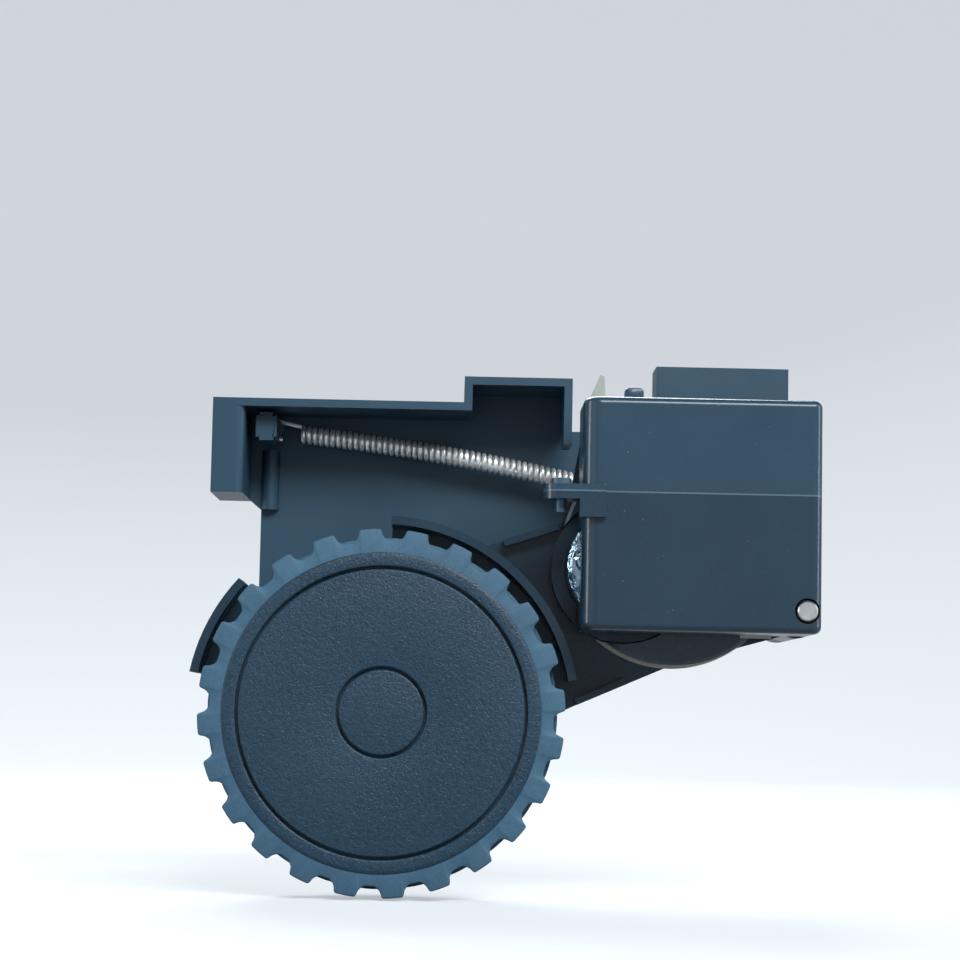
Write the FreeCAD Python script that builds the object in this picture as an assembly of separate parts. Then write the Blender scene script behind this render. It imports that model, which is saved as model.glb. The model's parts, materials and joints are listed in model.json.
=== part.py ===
import FreeCAD, Part
import math
import os

# Robot vacuum wheel module: a fixed bracket that the robot's chassis is screwed to from behind, and a swing
# arm that carries the geared motor and the wheel, hinged on a steel pin and pulled down by a long spring.
# X runs to the right and Z up as seen from the wheel's outer face, and the viewer stands at -Y.
# The origin is the middle of the four chassis screws, on the plane where their bosses meet the chassis.

# Chassis screws
SCREW_SPACING_X = 80.0
SCREW_SPACING_Z = 32.0
SCREW_BOSS_R = 3.2
SCREW_BOSS_H = 4.0
SCREW_HOLE_R = 1.3
SCREW_HOLE_DEPTH = 5.0

# Wheel axis, and from it the swing pivot and the spring's two pegs; the drum's place is given from the motor
WHEEL_X = -27.0
WHEEL_Z = -38.0
PIVOT_DX = 79.6
PIVOT_DZ = 20.5
DRUM_FROM_MOTOR_X = 9.8
DRUM_FROM_MOTOR_Z = 3.7
SPRING_PEG_DX = -24.0
SPRING_PEG_DROP = 4.8
ARM_PEG_DX = 41.2
ARM_PEG_DZ = 47.3

# Wheel and tyre
WHEEL_R = 35.0
TYRE_W = 16.0
TREAD_DEPTH = 2.4
TREAD_BLOCKS = 24
BLOCK_TOP_SHARE = 0.50
NOTCH_FLOOR_SHARE = 0.22
TYRE_T = 5.7
CAP_LAP = 1.1
CAP_T = 2.4
CAP_BORDER = 3.1
CAP_EYE_R = 8.3
CAP_GROOVE_W = 0.6
CAP_GROOVE_DEPTH = 0.5
HUB_RIM_T = 1.8
HUB_WEB_T = 2.0
HUB_BOSS_R = 6.0
HUB_RIBS = 8
HUB_RIB_T = 1.2
SHAFT_R = 2.5
RUN_CLEAR = 0.05
TREAD_FOOT_SHARE = 0.65
TREAD_FOOT_FLARE = 0.08
CAP_PROUD = 0.3
CAP_EDGE = 0.9
CAP_EDGE_H = 0.4
CAP_CLEAR = 0.05
HUB_SET_BACK = 0.3
HUB_DISH = 4.0
HUB_RIB_SET = 1.5
HUB_SEAT = 1.2
HUB_SCREW_R = 3.1
SHAFT_PROUD = 0.6

# Bracket
PLATE_T = 2.0
WALL_T = 1.6
PLATE_LEFT_DX = -26.7
BLOCK_LEFT_DX = -35.4
BLOCK_RIGHT_DX = -29.0
BLOCK_H = 18.9
BLOCK_EDGE_R = 1.6
COLUMN_R = 1.8
COLUMN_PROUD = 2.2
TOP_DZ = 61.7
STEP_DX = 14.5
STEP_RISE = 5.2
RIGHT_WALL_DX = 36.0
RIGHT_WALL_H = 13.2
STEP_BELOW_BLOCK = 1.9
SPRING_SLOT_H = 4.5
SPRING_CLEAR = 0.8
LEDGE_W = 10.0
PLATE_BOTTOM_DZ = 8.0
REACH_BOTTOM_DZ = 18.0
REACH_RIGHT_MARGIN = 4.0
REACH_SLOPE = 6.0
REACH_BELOW_BOX = 2.0
TOWER_W = 26.9
TOWER_RISE = 10.8
TOWER_DEPTH = 10.0
TOWER_INSET = 2.0
TOWER_FOOT = 5.0
SOCKET_W = 16.0
SOCKET_D = 6.4
SOCKET_H = 9.0
SOCKET_WALL = 1.0
SOCKET_PINS = 5
SOCKET_PITCH = 2.0
SOCKET_PIN_W = 0.5

# Levels from the back to the front
SPRING_STANDOFF = 5.0
SPRING_OD = 3.9
SPRING_WIRE = 0.8
SPRING_TURNS = 42
SPRING_SIDES = 12
SPRING_LOOP_R = 2.3
SPRING_LEAD_SHARE = 2.2
SPRING_GROOVE_SHARE = 0.5
PEG_R = 1.5
PEG_HEAD_R = 2.0
ARM_BEHIND = 1.6
COVER_T = 1.5
GEAR_W = 2.5
GEAR_GAP = 0.4
CASE_T = 1.6
WHEEL_GAP = 1.6
BRACKET_FRONT_GAP = 0.6

# Fender that the arm carries over the wheel
FENDER_GAP = 1.1
FENDER_T = 1.6
FENDER_REACH = 11.0
FENDER_PLATE_INSET = 5.0
FENDER_ARCS = ((10.6, 88.6), (138.2, 169.2))

# Gear train, in one straight line from the wheel to the motor
TRAIN_HEADING = math.radians(31.7)
PRESSURE_ANGLE = math.radians(25.0)
TOOTH_SHARE = 0.46
ADDENDUM = 0.8
DEDENDUM = 1.1
PINION_TEETH = 12
PINION_ROOM_SHARE = 0.8
FIRST_TEETH = 36
SECOND_TEETH = 36
OUTPUT_TEETH = 40
FIRST_MODULE = 0.62
SECOND_MODULE = 0.72
OUTPUT_MODULE = 0.85
GEAR_PIN_R = 1.5
GEAR_PIN_SKIN = 0.6
CASE_CLEAR = 0.7
BEARING_SHOULDER = 0.4
BEARING_PROUD = 0.8
BEARING_RIM = 0.6

# Web of the arm between the wheel, the box and the pivot, its corners given from the wheel's axis
WEB_TOP = ((6.0, 28.6), (34.6, 38.0))
WEB_BOTTOM = ((36.5, 1.7), (4.0, -13.6))
TOP_RIB = ((22.6, 34.05), (33.2, 37.53))
BOTTOM_RIB = ((47.4, 6.5), (37.6, 2.2))
WEB_RIB_T = 1.28
WEB_RIB_H = 3.0
WEB_INSET = 4.0

# Motor
MOTOR_R = 11.4
MOTOR_L = 15.6
MOTOR_RING_T = 2.6
MOTOR_RING_H = 4.4
MOTOR_SHAFT_R = 1.0
MOTOR_SCREW_DX = 8.0
MAGNET_R = 5.0
MAGNET_T = 2.0
MAGNET_GAP = 0.4
MOTOR_FIT = 0.1
MOTOR_EDGE = 0.8
MOTOR_NOSE_R = 4.0
MOTOR_NOSE_T = 1.0
MOTOR_HOLE_SHARE = 3

# Drum and box cover over the motor
DRUM_R = 22.0
DRUM_H = 5.6
GASKET_T = 0.5
DRUM_EDGE = 0.6
GASKET_LAP = 0.3
TAB_H = 6.4
TAB_W = 4.4
TAB_POINT = 0.3
TAB_SLANT = 0.4
LOW_TAB = (13.0, 7.0)
GASKET_INSET = 0.6
DRUM_CLEAR = 0.3
BOX_LEFT_DX = 37.1
BOX_TOP_DZ = 60.4
BOX_PAST_PIN = 2.8
BOX_BELOW_PIN = 4.3
UPPER_BOX_H = 18.3
BOX_DEPTH = 15.6
BOX_WALL = 1.4
BOX_LEFT_EDGE_R = 3.2
BOX_RIGHT_EDGE_R = 2.0
BOX_CORNER_R = 1.4
EAR_LEFT_DX = 29.6
EAR_RIGHT_DX = 41.5
EAR_T = 1.4
EAR_W = 7.0
EAR_PROUD = 1.3
LATCH_H = 4.8
LATCH_D = 4.0
LATCH_PROUD = 0.6
NUB_FROM_LEFT = 8.5
NUB_W = 3.4
NUB_D = 3.0
NUB_RISE = 1.6
NUB_ROOT = 0.5
BOX_POST_T = 1.2
BOX_SCREW_TIP = 2.4

# Swing pivot
PIN_R = 2.0
BUSH_T = 1.0
BUSH_L = 5.0
PIVOT_BOSS_T = 1.6
PIN_SIGHT_R = 2.4
PIN_CLEAR = 0.4
PIN_EDGE = 0.3
BUSH_SET = 0.4

# Drop sensor: a board on the bracket that feels the magnet in the arm
SENSOR_FROM_RIGHT = 18.4
SENSOR_FROM_TOP = 13.4
BOARD_T = 1.2
ENCODER_BOARD_L = 17.8
BOARD_W = 14.0
BOARD_H = 10.0
BOARD_STANDOFF = 1.5
BOARD_FOOT_R = 1.6
BOARD_FOOT_INSET = 2.0
BOARD_PEG_R = 1.4
BOARD_PEG_INSET = 3.0
BOARD_GAP = 0.6
CHIP_W = 3.2
CHIP_H = 2.8
CHIP_T = 1.0
ENCODER_CHIP_W = 2.6
ENCODER_CHIP_T = 0.8
ENCODER_CHIP_INSET = 0.4
SENSOR_MAGNET_R = 2.0
SENSOR_MAGNET_L = 3.0

# Small screws
SMALL_SCREW_R = 1.0
SMALL_HEAD_R = 1.9
SMALL_HEAD_H = 1.2
SMALL_SLOT_W = 0.5
COVER_SCREW_L = 6.0
MOTOR_SCREW_L = 3.0
SCREW_PAD = 0.4
COVER_SCREW_HEADINGS = {"wheel": (180, 115), "second": (-75,), "motor": (20, -60)}

# Longer than any piece, for cuts that go right through, and the overlap of cutters past a face
REACH = 200
PAST = 1

# Levels along Y
PLATE_BACK = -SCREW_BOSS_H
PLATE_FRONT = PLATE_BACK - PLATE_T
SPRING_Y = PLATE_FRONT - SPRING_STANDOFF
COVER_BACK = SPRING_Y - SPRING_OD / 2 - ARM_BEHIND
COVER_FRONT = COVER_BACK - COVER_T
CASE_INNER = COVER_FRONT - 3 * GEAR_W - 4 * GEAR_GAP
CASE_FRONT = CASE_INNER - CASE_T
WHEEL_BACK = CASE_FRONT - WHEEL_GAP
WHEEL_FRONT = WHEEL_BACK - TYRE_W
BRACKET_FRONT = CASE_INNER + BRACKET_FRONT_GAP
FENDER_FRONT = CASE_FRONT - FENDER_REACH
DRUM_BACK = CASE_FRONT - GASKET_T
DRUM_FRONT = DRUM_BACK - DRUM_H
BOX_BACK = DRUM_FRONT - GASKET_T
BOX_FRONT = BOX_BACK - BOX_DEPTH
MOTOR_FRONT = CASE_FRONT - MOTOR_L

# Sizes that follow
TYRE_SEAT_R = WHEEL_R - TYRE_T
CAP_R = TYRE_SEAT_R + CAP_LAP
CAP_RING_R = CAP_R - CAP_BORDER
FENDER_PLATE_R = WHEEL_R - FENDER_PLATE_INSET
BLOCK_BOTTOM_DZ = TOP_DZ - BLOCK_H
STEP_BOTTOM_DZ = BLOCK_BOTTOM_DZ - STEP_BELOW_BLOCK
STEP_TOP_DZ = TOP_DZ + STEP_RISE
RIGHT_WALL_BOTTOM_DZ = STEP_TOP_DZ - RIGHT_WALL_H
SPRING_PEG_DZ = TOP_DZ - SPRING_PEG_DROP
BOX_RIGHT_DX = PIVOT_DX + BOX_PAST_PIN
BOX_BOTTOM_DZ = PIVOT_DZ - BOX_BELOW_PIN
SEAM_DZ = BOX_TOP_DZ - UPPER_BOX_H
TOWER_RIGHT_DX = BOX_RIGHT_DX - TOWER_INSET
TOWER_LEFT_DX = TOWER_RIGHT_DX - TOWER_W
TOWER_TOP_DZ = BOX_TOP_DZ + TOWER_RISE
SENSOR_DX = BOX_RIGHT_DX - SENSOR_FROM_RIGHT
SENSOR_DZ = BOX_TOP_DZ - SENSOR_FROM_TOP
RUN_R = SHAFT_R + RUN_CLEAR
FENDER_R = WHEEL_R + FENDER_GAP
BEARING_R = SHAFT_R * 2
MOTOR_RING_R = MOTOR_R + MOTOR_FIT + MOTOR_RING_T
BUSH_R = PIN_R + RUN_CLEAR + BUSH_T
PIVOT_BOSS_R = BUSH_R + PIVOT_BOSS_T


def place(dx, dz):
    """A point of the X-Z plane, given from the wheel's axis."""
    return (WHEEL_X + dx, WHEEL_Z + dz)


def polar(centre, radius, angle):
    return (centre[0] + radius * math.cos(angle), centre[1] + radius * math.sin(angle))


OUTPUT_SPACING = OUTPUT_MODULE * (OUTPUT_TEETH + PINION_TEETH) / 2
SECOND_SPACING = SECOND_MODULE * (SECOND_TEETH + PINION_TEETH) / 2
FIRST_SPACING = FIRST_MODULE * (FIRST_TEETH + PINION_TEETH) / 2
WHEEL = place(0, 0)
SECOND_AXIS = polar(WHEEL, OUTPUT_SPACING, TRAIN_HEADING)
FIRST_AXIS = polar(SECOND_AXIS, SECOND_SPACING, TRAIN_HEADING)
MOTOR = polar(FIRST_AXIS, FIRST_SPACING, TRAIN_HEADING)
DRUM = (MOTOR[0] + DRUM_FROM_MOTOR_X, MOTOR[1] + DRUM_FROM_MOTOR_Z)
PIVOT = place(PIVOT_DX, PIVOT_DZ)
SPRING_PEG = place(SPRING_PEG_DX, SPRING_PEG_DZ)
ARM_PEG = place(ARM_PEG_DX, ARM_PEG_DZ)


def block(x0, x1, y0, y1, z0, z1):
    corner = FreeCAD.Vector(min(x0, x1), min(y0, y1), min(z0, z1))
    return Part.makeBox(abs(x1 - x0), abs(y1 - y0), abs(z1 - z0), corner)


def rod(centre, radius, y_back, y_front):
    """A cylinder along Y between two levels."""
    base = FreeCAD.Vector(centre[0], max(y_back, y_front), centre[1])
    return Part.makeCylinder(radius, abs(y_back - y_front), base, FreeCAD.Vector(0, -1, 0))


def ring(centre, outer, inner, y_back, y_front):
    return rod(centre, outer, y_back, y_front).cut(rod(centre, inner, y_back + 1, y_front - 1))


def prism(points, y_back, y_front):
    """A straight-sided outline in the X-Z plane, drawn out along Y."""
    corners = [FreeCAD.Vector(x, y_back, z) for x, z in points]
    face = Part.Face(Part.makePolygon(corners + corners[:1]))
    return face.extrude(FreeCAD.Vector(0, y_front - y_back, 0))


def belt(first, first_r, second, second_r, y_back, y_front):
    """The outline of a belt round two circles, drawn out along Y."""
    gap = math.hypot(second[0] - first[0], second[1] - first[1])
    heading = math.atan2(second[1] - first[1], second[0] - first[0])
    lean = math.acos((first_r - second_r) / gap)
    corners = [polar(first, first_r, heading + lean), polar(second, second_r, heading + lean),
               polar(second, second_r, heading - lean), polar(first, first_r, heading - lean)]
    shape = prism(corners, y_back, y_front)
    shape = shape.fuse(rod(first, first_r, y_back, y_front))
    return shape.fuse(rod(second, second_r, y_back, y_front)).removeSplitter()


def wedge(centre, outer, inner, start, stop, y_back, y_front):
    """A stretch of ring between two angles in degrees."""
    a0, a1 = math.radians(start), math.radians(stop)
    middle = (a0 + a1) / 2

    def vec(radius, angle):
        x, z = polar(centre, radius, angle)
        return FreeCAD.Vector(x, y_back, z)

    edges = [Part.Arc(vec(outer, a0), vec(outer, middle), vec(outer, a1)).toShape(),
             Part.LineSegment(vec(outer, a1), vec(inner, a1)).toShape(),
             Part.Arc(vec(inner, a1), vec(inner, middle), vec(inner, a0)).toShape(),
             Part.LineSegment(vec(inner, a0), vec(outer, a0)).toShape()]
    return Part.Face(Part.Wire(edges)).extrude(FreeCAD.Vector(0, y_front - y_back, 0))


def turned(centre, profile):
    """A profile of (radius, y) points turned about a line along Y."""
    corners = [FreeCAD.Vector(centre[0] + radius, y, centre[1]) for radius, y in profile]
    face = Part.Face(Part.makePolygon(corners + corners[:1]))
    return face.revolve(FreeCAD.Vector(centre[0], 0, centre[1]), FreeCAD.Vector(0, 1, 0), 360)


def join(shapes):
    whole = shapes[0].multiFuse(shapes[1:])
    return whole.removeSplitter()


def screw(centre, head_back, length, head_r=SMALL_HEAD_R, stem_r=SMALL_SCREW_R):
    """A pan-head screw whose head faces backwards and whose stem points forwards."""
    head = rod(centre, head_r, head_back, head_back - SMALL_HEAD_H)
    stem = rod(centre, stem_r, head_back, head_back - SMALL_HEAD_H - length)
    slot = block(centre[0] - head_r, centre[0] + head_r, head_back + 1, head_back - SMALL_SLOT_W,
                 centre[1] - SMALL_SLOT_W / 2, centre[1] + SMALL_SLOT_W / 2)
    return head.fuse(stem).cut(slot).removeSplitter()


# Gears
def flank_angle(teeth, module, radius):
    """Half the angle that one involute tooth takes up at a radius."""
    base = teeth * module / 2 * math.cos(PRESSURE_ANGLE)
    pressure = math.acos(min(1.0, base / max(radius, base)))
    share = math.tan(PRESSURE_ANGLE) - PRESSURE_ANGLE - math.tan(pressure) + pressure
    return TOOTH_SHARE * math.pi / teeth + share


def gear(centre, teeth, module, phase, y_back, y_front, flank_points=2):
    """A spur gear with one tooth centred on the phase angle."""
    root = module * (teeth / 2 - DEDENDUM)
    tip = module * (teeth / 2 + ADDENDUM)
    radii = [root + (tip - root) * i / (flank_points - 1) for i in range(flank_points)]
    points = []
    for tooth in range(teeth):
        middle = phase + 2 * math.pi * tooth / teeth
        rising = [polar(centre, r, middle - flank_angle(teeth, module, r)) for r in radii]
        falling = [polar(centre, r, middle + flank_angle(teeth, module, r)) for r in reversed(radii)]
        points += rising + falling
    return prism(points, y_back, y_front)


def mesh_phase(driver, driver_teeth, driver_phase, other, other_teeth):
    """The phase at which the other gear's gap meets the driver's tooth."""
    heading = math.atan2(other[1] - driver[1], other[0] - driver[0])
    along = (heading - driver_phase) * driver_teeth / (2 * math.pi)
    return heading + math.pi - (0.5 - along) * 2 * math.pi / other_teeth


def layer(index):
    """Back and front of one of the three gear layers, counted from the rear cover."""
    back = COVER_FRONT - GEAR_GAP - index * (GEAR_W + GEAR_GAP)
    return back, back - GEAR_W


OUTPUT_PHASE = 0.0
SECOND_SMALL_PHASE = mesh_phase(WHEEL, OUTPUT_TEETH, OUTPUT_PHASE, SECOND_AXIS, PINION_TEETH)
FIRST_SMALL_PHASE = mesh_phase(SECOND_AXIS, SECOND_TEETH, SECOND_SMALL_PHASE, FIRST_AXIS, PINION_TEETH)
PINION_PHASE = mesh_phase(FIRST_AXIS, FIRST_TEETH, FIRST_SMALL_PHASE, MOTOR, PINION_TEETH)


def compound_gear(centre, large_teeth, large_module, small_module, phase, first_layer):
    """A large gear and a small one moulded together, on neighbouring layers."""
    back, front = layer(first_layer)
    small_back, small_front = layer(first_layer + 1)
    large = gear(centre, large_teeth, large_module, phase, back, front)
    small = gear(centre, PINION_TEETH, small_module, phase, small_back, small_front, 3)
    hub = rod(centre, small_module * (PINION_TEETH / 2 - DEDENDUM), front, small_back)
    bore = rod(centre, GEAR_PIN_R + RUN_CLEAR, back + 1, small_front - 1)
    return join([large, hub, small]).cut(bore)


def output_gear():
    back, front = layer(2)
    return gear(WHEEL, OUTPUT_TEETH, OUTPUT_MODULE, OUTPUT_PHASE, back, front).cut(rod(WHEEL, SHAFT_R, 0, -60))


def motor_pinion():
    back, front = layer(0)
    shape = gear(MOTOR, PINION_TEETH, FIRST_MODULE, PINION_PHASE, back, front, 3)
    return shape.cut(rod(MOTOR, MOTOR_SHAFT_R, back + 1, front - 1))


# Bracket
def screw_places():
    for sx in (-1, 1):
        for sz in (-1, 1):
            yield (sx * SCREW_SPACING_X / 2, sz * SCREW_SPACING_Z / 2)


def wall(dx0, dx1, dz0, dz1, y_front=None):
    """A wall of the bracket, standing forward from the back of its plate."""
    x0, z0 = place(dx0, dz0)
    x1, z1 = place(dx1, dz1)
    return block(x0, x1, PLATE_BACK, BRACKET_FRONT if y_front is None else y_front, z0, z1)


def left_block():
    """The hollow block at the bracket's left, with its inner front edge rounded."""
    shape = wall(BLOCK_LEFT_DX, BLOCK_RIGHT_DX, BLOCK_BOTTOM_DZ, TOP_DZ)
    inner = [edge for edge in shape.Edges if abs(edge.tangentAt(edge.FirstParameter).z) > 0.9
             and edge.CenterOfMass.x > WHEEL_X + BLOCK_RIGHT_DX - 0.01
             and edge.CenterOfMass.y < BRACKET_FRONT + 0.01]
    return shape.makeFillet(BLOCK_EDGE_R, inner)


def column():
    """The half-round column on the plate, from its lower edge up to below the spring's peg."""
    x, z0 = place(PLATE_LEFT_DX + COLUMN_R, STEP_BOTTOM_DZ)
    height = SPRING_PEG_DZ - SPRING_LOOP_R - WALL_T - STEP_BOTTOM_DZ
    core = PLATE_FRONT - COLUMN_PROUD + COLUMN_R
    shaft = Part.makeCylinder(COLUMN_R, height, FreeCAD.Vector(x, core, z0))
    return shaft.common(block(-REACH, REACH, PLATE_BACK, -REACH, -REACH, REACH))


def bracket():
    reach_right = PIVOT_DX + REACH_RIGHT_MARGIN
    reach_top = BOX_TOP_DZ - REACH_BELOW_BOX
    outline = [(PLATE_LEFT_DX, PLATE_BOTTOM_DZ), (RIGHT_WALL_DX, PLATE_BOTTOM_DZ),
               (RIGHT_WALL_DX + REACH_SLOPE, REACH_BOTTOM_DZ), (reach_right, REACH_BOTTOM_DZ),
               (reach_right, reach_top), (RIGHT_WALL_DX, reach_top),
               (RIGHT_WALL_DX, STEP_TOP_DZ), (STEP_DX, STEP_TOP_DZ), (STEP_DX, TOP_DZ),
               (BLOCK_LEFT_DX, TOP_DZ), (BLOCK_LEFT_DX, BLOCK_BOTTOM_DZ),
               (BLOCK_RIGHT_DX, BLOCK_BOTTOM_DZ), (PLATE_LEFT_DX, STEP_BOTTOM_DZ)]
    plate = prism([place(dx, dz) for dx, dz in outline], PLATE_BACK, PLATE_FRONT)
    shapes = [plate, left_block(), column(),
              wall(BLOCK_LEFT_DX, STEP_DX + WALL_T, TOP_DZ - WALL_T, TOP_DZ),
              wall(STEP_DX, STEP_DX + WALL_T, TOP_DZ - WALL_T, STEP_TOP_DZ),
              wall(STEP_DX, RIGHT_WALL_DX, STEP_TOP_DZ - WALL_T, STEP_TOP_DZ),
              wall(RIGHT_WALL_DX - WALL_T, RIGHT_WALL_DX, RIGHT_WALL_BOTTOM_DZ, STEP_TOP_DZ)]
    ledge_dz = RIGHT_WALL_BOTTOM_DZ - WALL_T
    shapes.append(wall(RIGHT_WALL_DX - LEDGE_W, RIGHT_WALL_DX, ledge_dz - WALL_T, ledge_dz,
                       SPRING_Y + SPRING_OD))
    for centre in screw_places():
        shapes.append(rod(centre, SCREW_BOSS_R, 0, PLATE_BACK))
    shapes.append(rod(PIVOT, PIVOT_BOSS_R, PLATE_BACK, COVER_BACK + 1))
    shapes.append(rod(SPRING_PEG, PEG_R, PLATE_FRONT, SPRING_Y - SPRING_WIRE))
    shapes.append(rod(SPRING_PEG, PEG_HEAD_R, SPRING_Y - SPRING_WIRE, SPRING_Y - 2 * SPRING_WIRE))
    shapes.append(tower())
    body = join(shapes)
    pocket = wall(BLOCK_LEFT_DX + WALL_T, BLOCK_RIGHT_DX - WALL_T, BLOCK_BOTTOM_DZ + WALL_T,
                  TOP_DZ - WALL_T, BRACKET_FRONT + WALL_T)
    spring_slot = wall(RIGHT_WALL_DX - 2 * WALL_T, RIGHT_WALL_DX + WALL_T, RIGHT_WALL_BOTTOM_DZ - 4 * WALL_T,
                       RIGHT_WALL_BOTTOM_DZ + SPRING_SLOT_H, SPRING_Y - SPRING_OD / 2 - SPRING_CLEAR)
    spring_slot = spring_slot.common(block(-REACH, REACH, PLATE_FRONT, -REACH, -REACH, REACH))
    cutters = [pocket, spring_slot, rod(PIVOT, PIN_R, PAST, -REACH)]
    for centre in screw_places():
        cutters.append(rod(centre, SCREW_HOLE_R, PAST, -SCREW_HOLE_DEPTH))
    cutters.append(socket_envelope(0.0))
    return body.cut(join(cutters)).removeSplitter()


def tower():
    x0, z1 = place(TOWER_LEFT_DX, TOWER_TOP_DZ)
    x1, z0 = place(TOWER_RIGHT_DX, BOX_TOP_DZ - TOWER_FOOT)
    return block(x0, x1, PLATE_BACK, PLATE_BACK - TOWER_DEPTH, z0, z1)


def socket_envelope(inset):
    """The space that the connector takes up in the top of the tower, less an inset all round."""
    x, top = place((TOWER_LEFT_DX + TOWER_RIGHT_DX) / 2, TOWER_TOP_DZ)
    y = PLATE_BACK - TOWER_DEPTH / 2
    half_w, half_d = SOCKET_W / 2 - inset, SOCKET_D / 2 - inset
    return block(x - half_w, x + half_w, y + half_d, y - half_d, top - SOCKET_H + inset, top)


def connector_socket():
    return socket_envelope(0.0).cut(socket_envelope(SOCKET_WALL))


def connector_pins():
    x, top = place((TOWER_LEFT_DX + TOWER_RIGHT_DX) / 2, TOWER_TOP_DZ)
    y = PLATE_BACK - TOWER_DEPTH / 2
    half = SOCKET_PIN_W / 2
    floor = top - SOCKET_H + SOCKET_WALL
    height = SOCKET_H / 3
    pins = []
    for index in range(SOCKET_PINS):
        mid = x + (index - (SOCKET_PINS - 1) / 2) * SOCKET_PITCH
        pins.append(block(mid - half, mid + half, y - half, y + half, floor, floor + height))
    return Part.Compound(pins)


def pivot_pin():
    pin = rod(PIVOT, PIN_R, PLATE_BACK, BOX_FRONT)
    return pin.makeChamfer(PIN_EDGE, [edge for edge in pin.Edges if len(edge.Vertexes) == 1])


def drop_board():
    x, z = place(SENSOR_DX, SENSOR_DZ)
    back = PLATE_FRONT - BOARD_STANDOFF
    board = block(x - BOARD_W / 2, x + BOARD_W / 2, back, back - BOARD_T, z - BOARD_H / 2, z + BOARD_H / 2)
    chip = block(x - CHIP_W / 2, x + CHIP_W / 2, back - BOARD_T, back - BOARD_T - CHIP_T,
                 z - CHIP_H / 2, z + CHIP_H / 2)
    foot = BOARD_W / 2 - BOARD_FOOT_INSET
    feet = [rod((x + side * foot, z), BOARD_FOOT_R, PLATE_FRONT, back) for side in (-1, 1)]
    return join([board, chip] + feet)


def sensor_magnet():
    x, z = place(SENSOR_DX, SENSOR_DZ)
    return rod((x, z), SENSOR_MAGNET_R, COVER_BACK, COVER_BACK - SENSOR_MAGNET_L)


# Tension spring
def tension_spring():
    """A close-wound spring lying along +X from its first peg, then swung to its slope."""
    length = math.hypot(ARM_PEG[0] - SPRING_PEG[0], ARM_PEG[1] - SPRING_PEG[1])
    lead = SPRING_LOOP_R * SPRING_LEAD_SHARE
    body_length = length - 2 * lead
    pitch = body_length / SPRING_TURNS
    crest = SPRING_OD / 2
    valley = crest - SPRING_WIRE * SPRING_GROOVE_SHARE
    stations = [(lead, valley)]
    for turn in range(SPRING_TURNS):
        stations += [(lead + (turn + 0.5) * pitch, crest), (lead + (turn + 1) * pitch, valley)]
    wires = []
    for along, radius in stations:
        corners = []
        for side in range(SPRING_SIDES):
            angle = 2 * math.pi * side / SPRING_SIDES
            corners.append(FreeCAD.Vector(along, radius * math.cos(angle), radius * math.sin(angle)))
        wires.append(Part.makePolygon(corners + corners[:1]))
    body = Part.makeLoft(wires, True, True)
    wire_r = SPRING_WIRE / 2
    shapes = [body]
    for end, sign in ((0, 1), (length, -1)):
        middle = FreeCAD.Vector(end, 0, 0)
        loop = Part.makeTorus(SPRING_LOOP_R - wire_r, wire_r, middle, FreeCAD.Vector(0, 1, 0))
        start = FreeCAD.Vector(end + sign * (SPRING_LOOP_R - wire_r), 0, 0)
        neck = Part.makeCylinder(wire_r, lead - SPRING_LOOP_R + SPRING_WIRE, start, FreeCAD.Vector(sign, 0, 0))
        shapes += [loop, neck]
    spring = join(shapes)
    slope = math.degrees(math.atan2(ARM_PEG[1] - SPRING_PEG[1], ARM_PEG[0] - SPRING_PEG[0]))
    spring.rotate(FreeCAD.Vector(0, 0, 0), FreeCAD.Vector(0, 1, 0), -slope)
    spring.translate(FreeCAD.Vector(SPRING_PEG[0], SPRING_Y, SPRING_PEG[1]))
    return spring


# Swing arm
OUTPUT_CASE_R = OUTPUT_MODULE * (OUTPUT_TEETH / 2 + ADDENDUM) + CASE_CLEAR
SECOND_CASE_R = SECOND_MODULE * (SECOND_TEETH / 2 + ADDENDUM) + CASE_CLEAR
FIRST_CASE_R = FIRST_MODULE * (FIRST_TEETH / 2 + ADDENDUM) + CASE_CLEAR
PINION_CASE_R = FIRST_CASE_R * PINION_ROOM_SHARE


def gear_room(grow, y_back, y_front):
    """The outline that holds the gear train, grown outwards by a wall."""
    stations = [(WHEEL, OUTPUT_CASE_R), (SECOND_AXIS, SECOND_CASE_R), (FIRST_AXIS, FIRST_CASE_R),
                (MOTOR, PINION_CASE_R)]
    belts = []
    for (first, first_r), (second, second_r) in zip(stations, stations[1:]):
        belts.append(belt(first, first_r + grow, second, second_r + grow, y_back, y_front))
    return join(belts)


def cover_screw_places():
    """The five screws round the gear room, each beside the gear whose room it holds down."""
    rooms = {"wheel": (WHEEL, OUTPUT_CASE_R), "second": (SECOND_AXIS, SECOND_CASE_R),
             "motor": (MOTOR, PINION_CASE_R)}
    places = []
    for name, headings in COVER_SCREW_HEADINGS.items():
        centre, radius = rooms[name]
        for heading in headings:
            places.append(polar(centre, radius + CASE_T + SMALL_HEAD_R, math.radians(heading)))
    return places


def web_outline():
    """The flat web of the arm that joins the wheel's side, the motor's side and the pivot."""
    top = BOX_TOP_DZ - WEB_INSET
    right = BOX_RIGHT_DX - WEB_INSET / 4
    upper = [place(dx, dz) for dx, dz in WEB_TOP]
    lower = [place(dx, dz) for dx, dz in WEB_BOTTOM]
    box_side = [place(BOX_LEFT_DX + WEB_INSET / 4, top), place(BOX_RIGHT_DX - WEB_INSET, top),
                place(right, PIVOT_DZ), place(BOX_RIGHT_DX - WEB_INSET / 2, BOX_BOTTOM_DZ + WEB_INSET / 4)]
    return upper + box_side + [(DRUM[0], DRUM[1] - DRUM_R)] + lower


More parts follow.
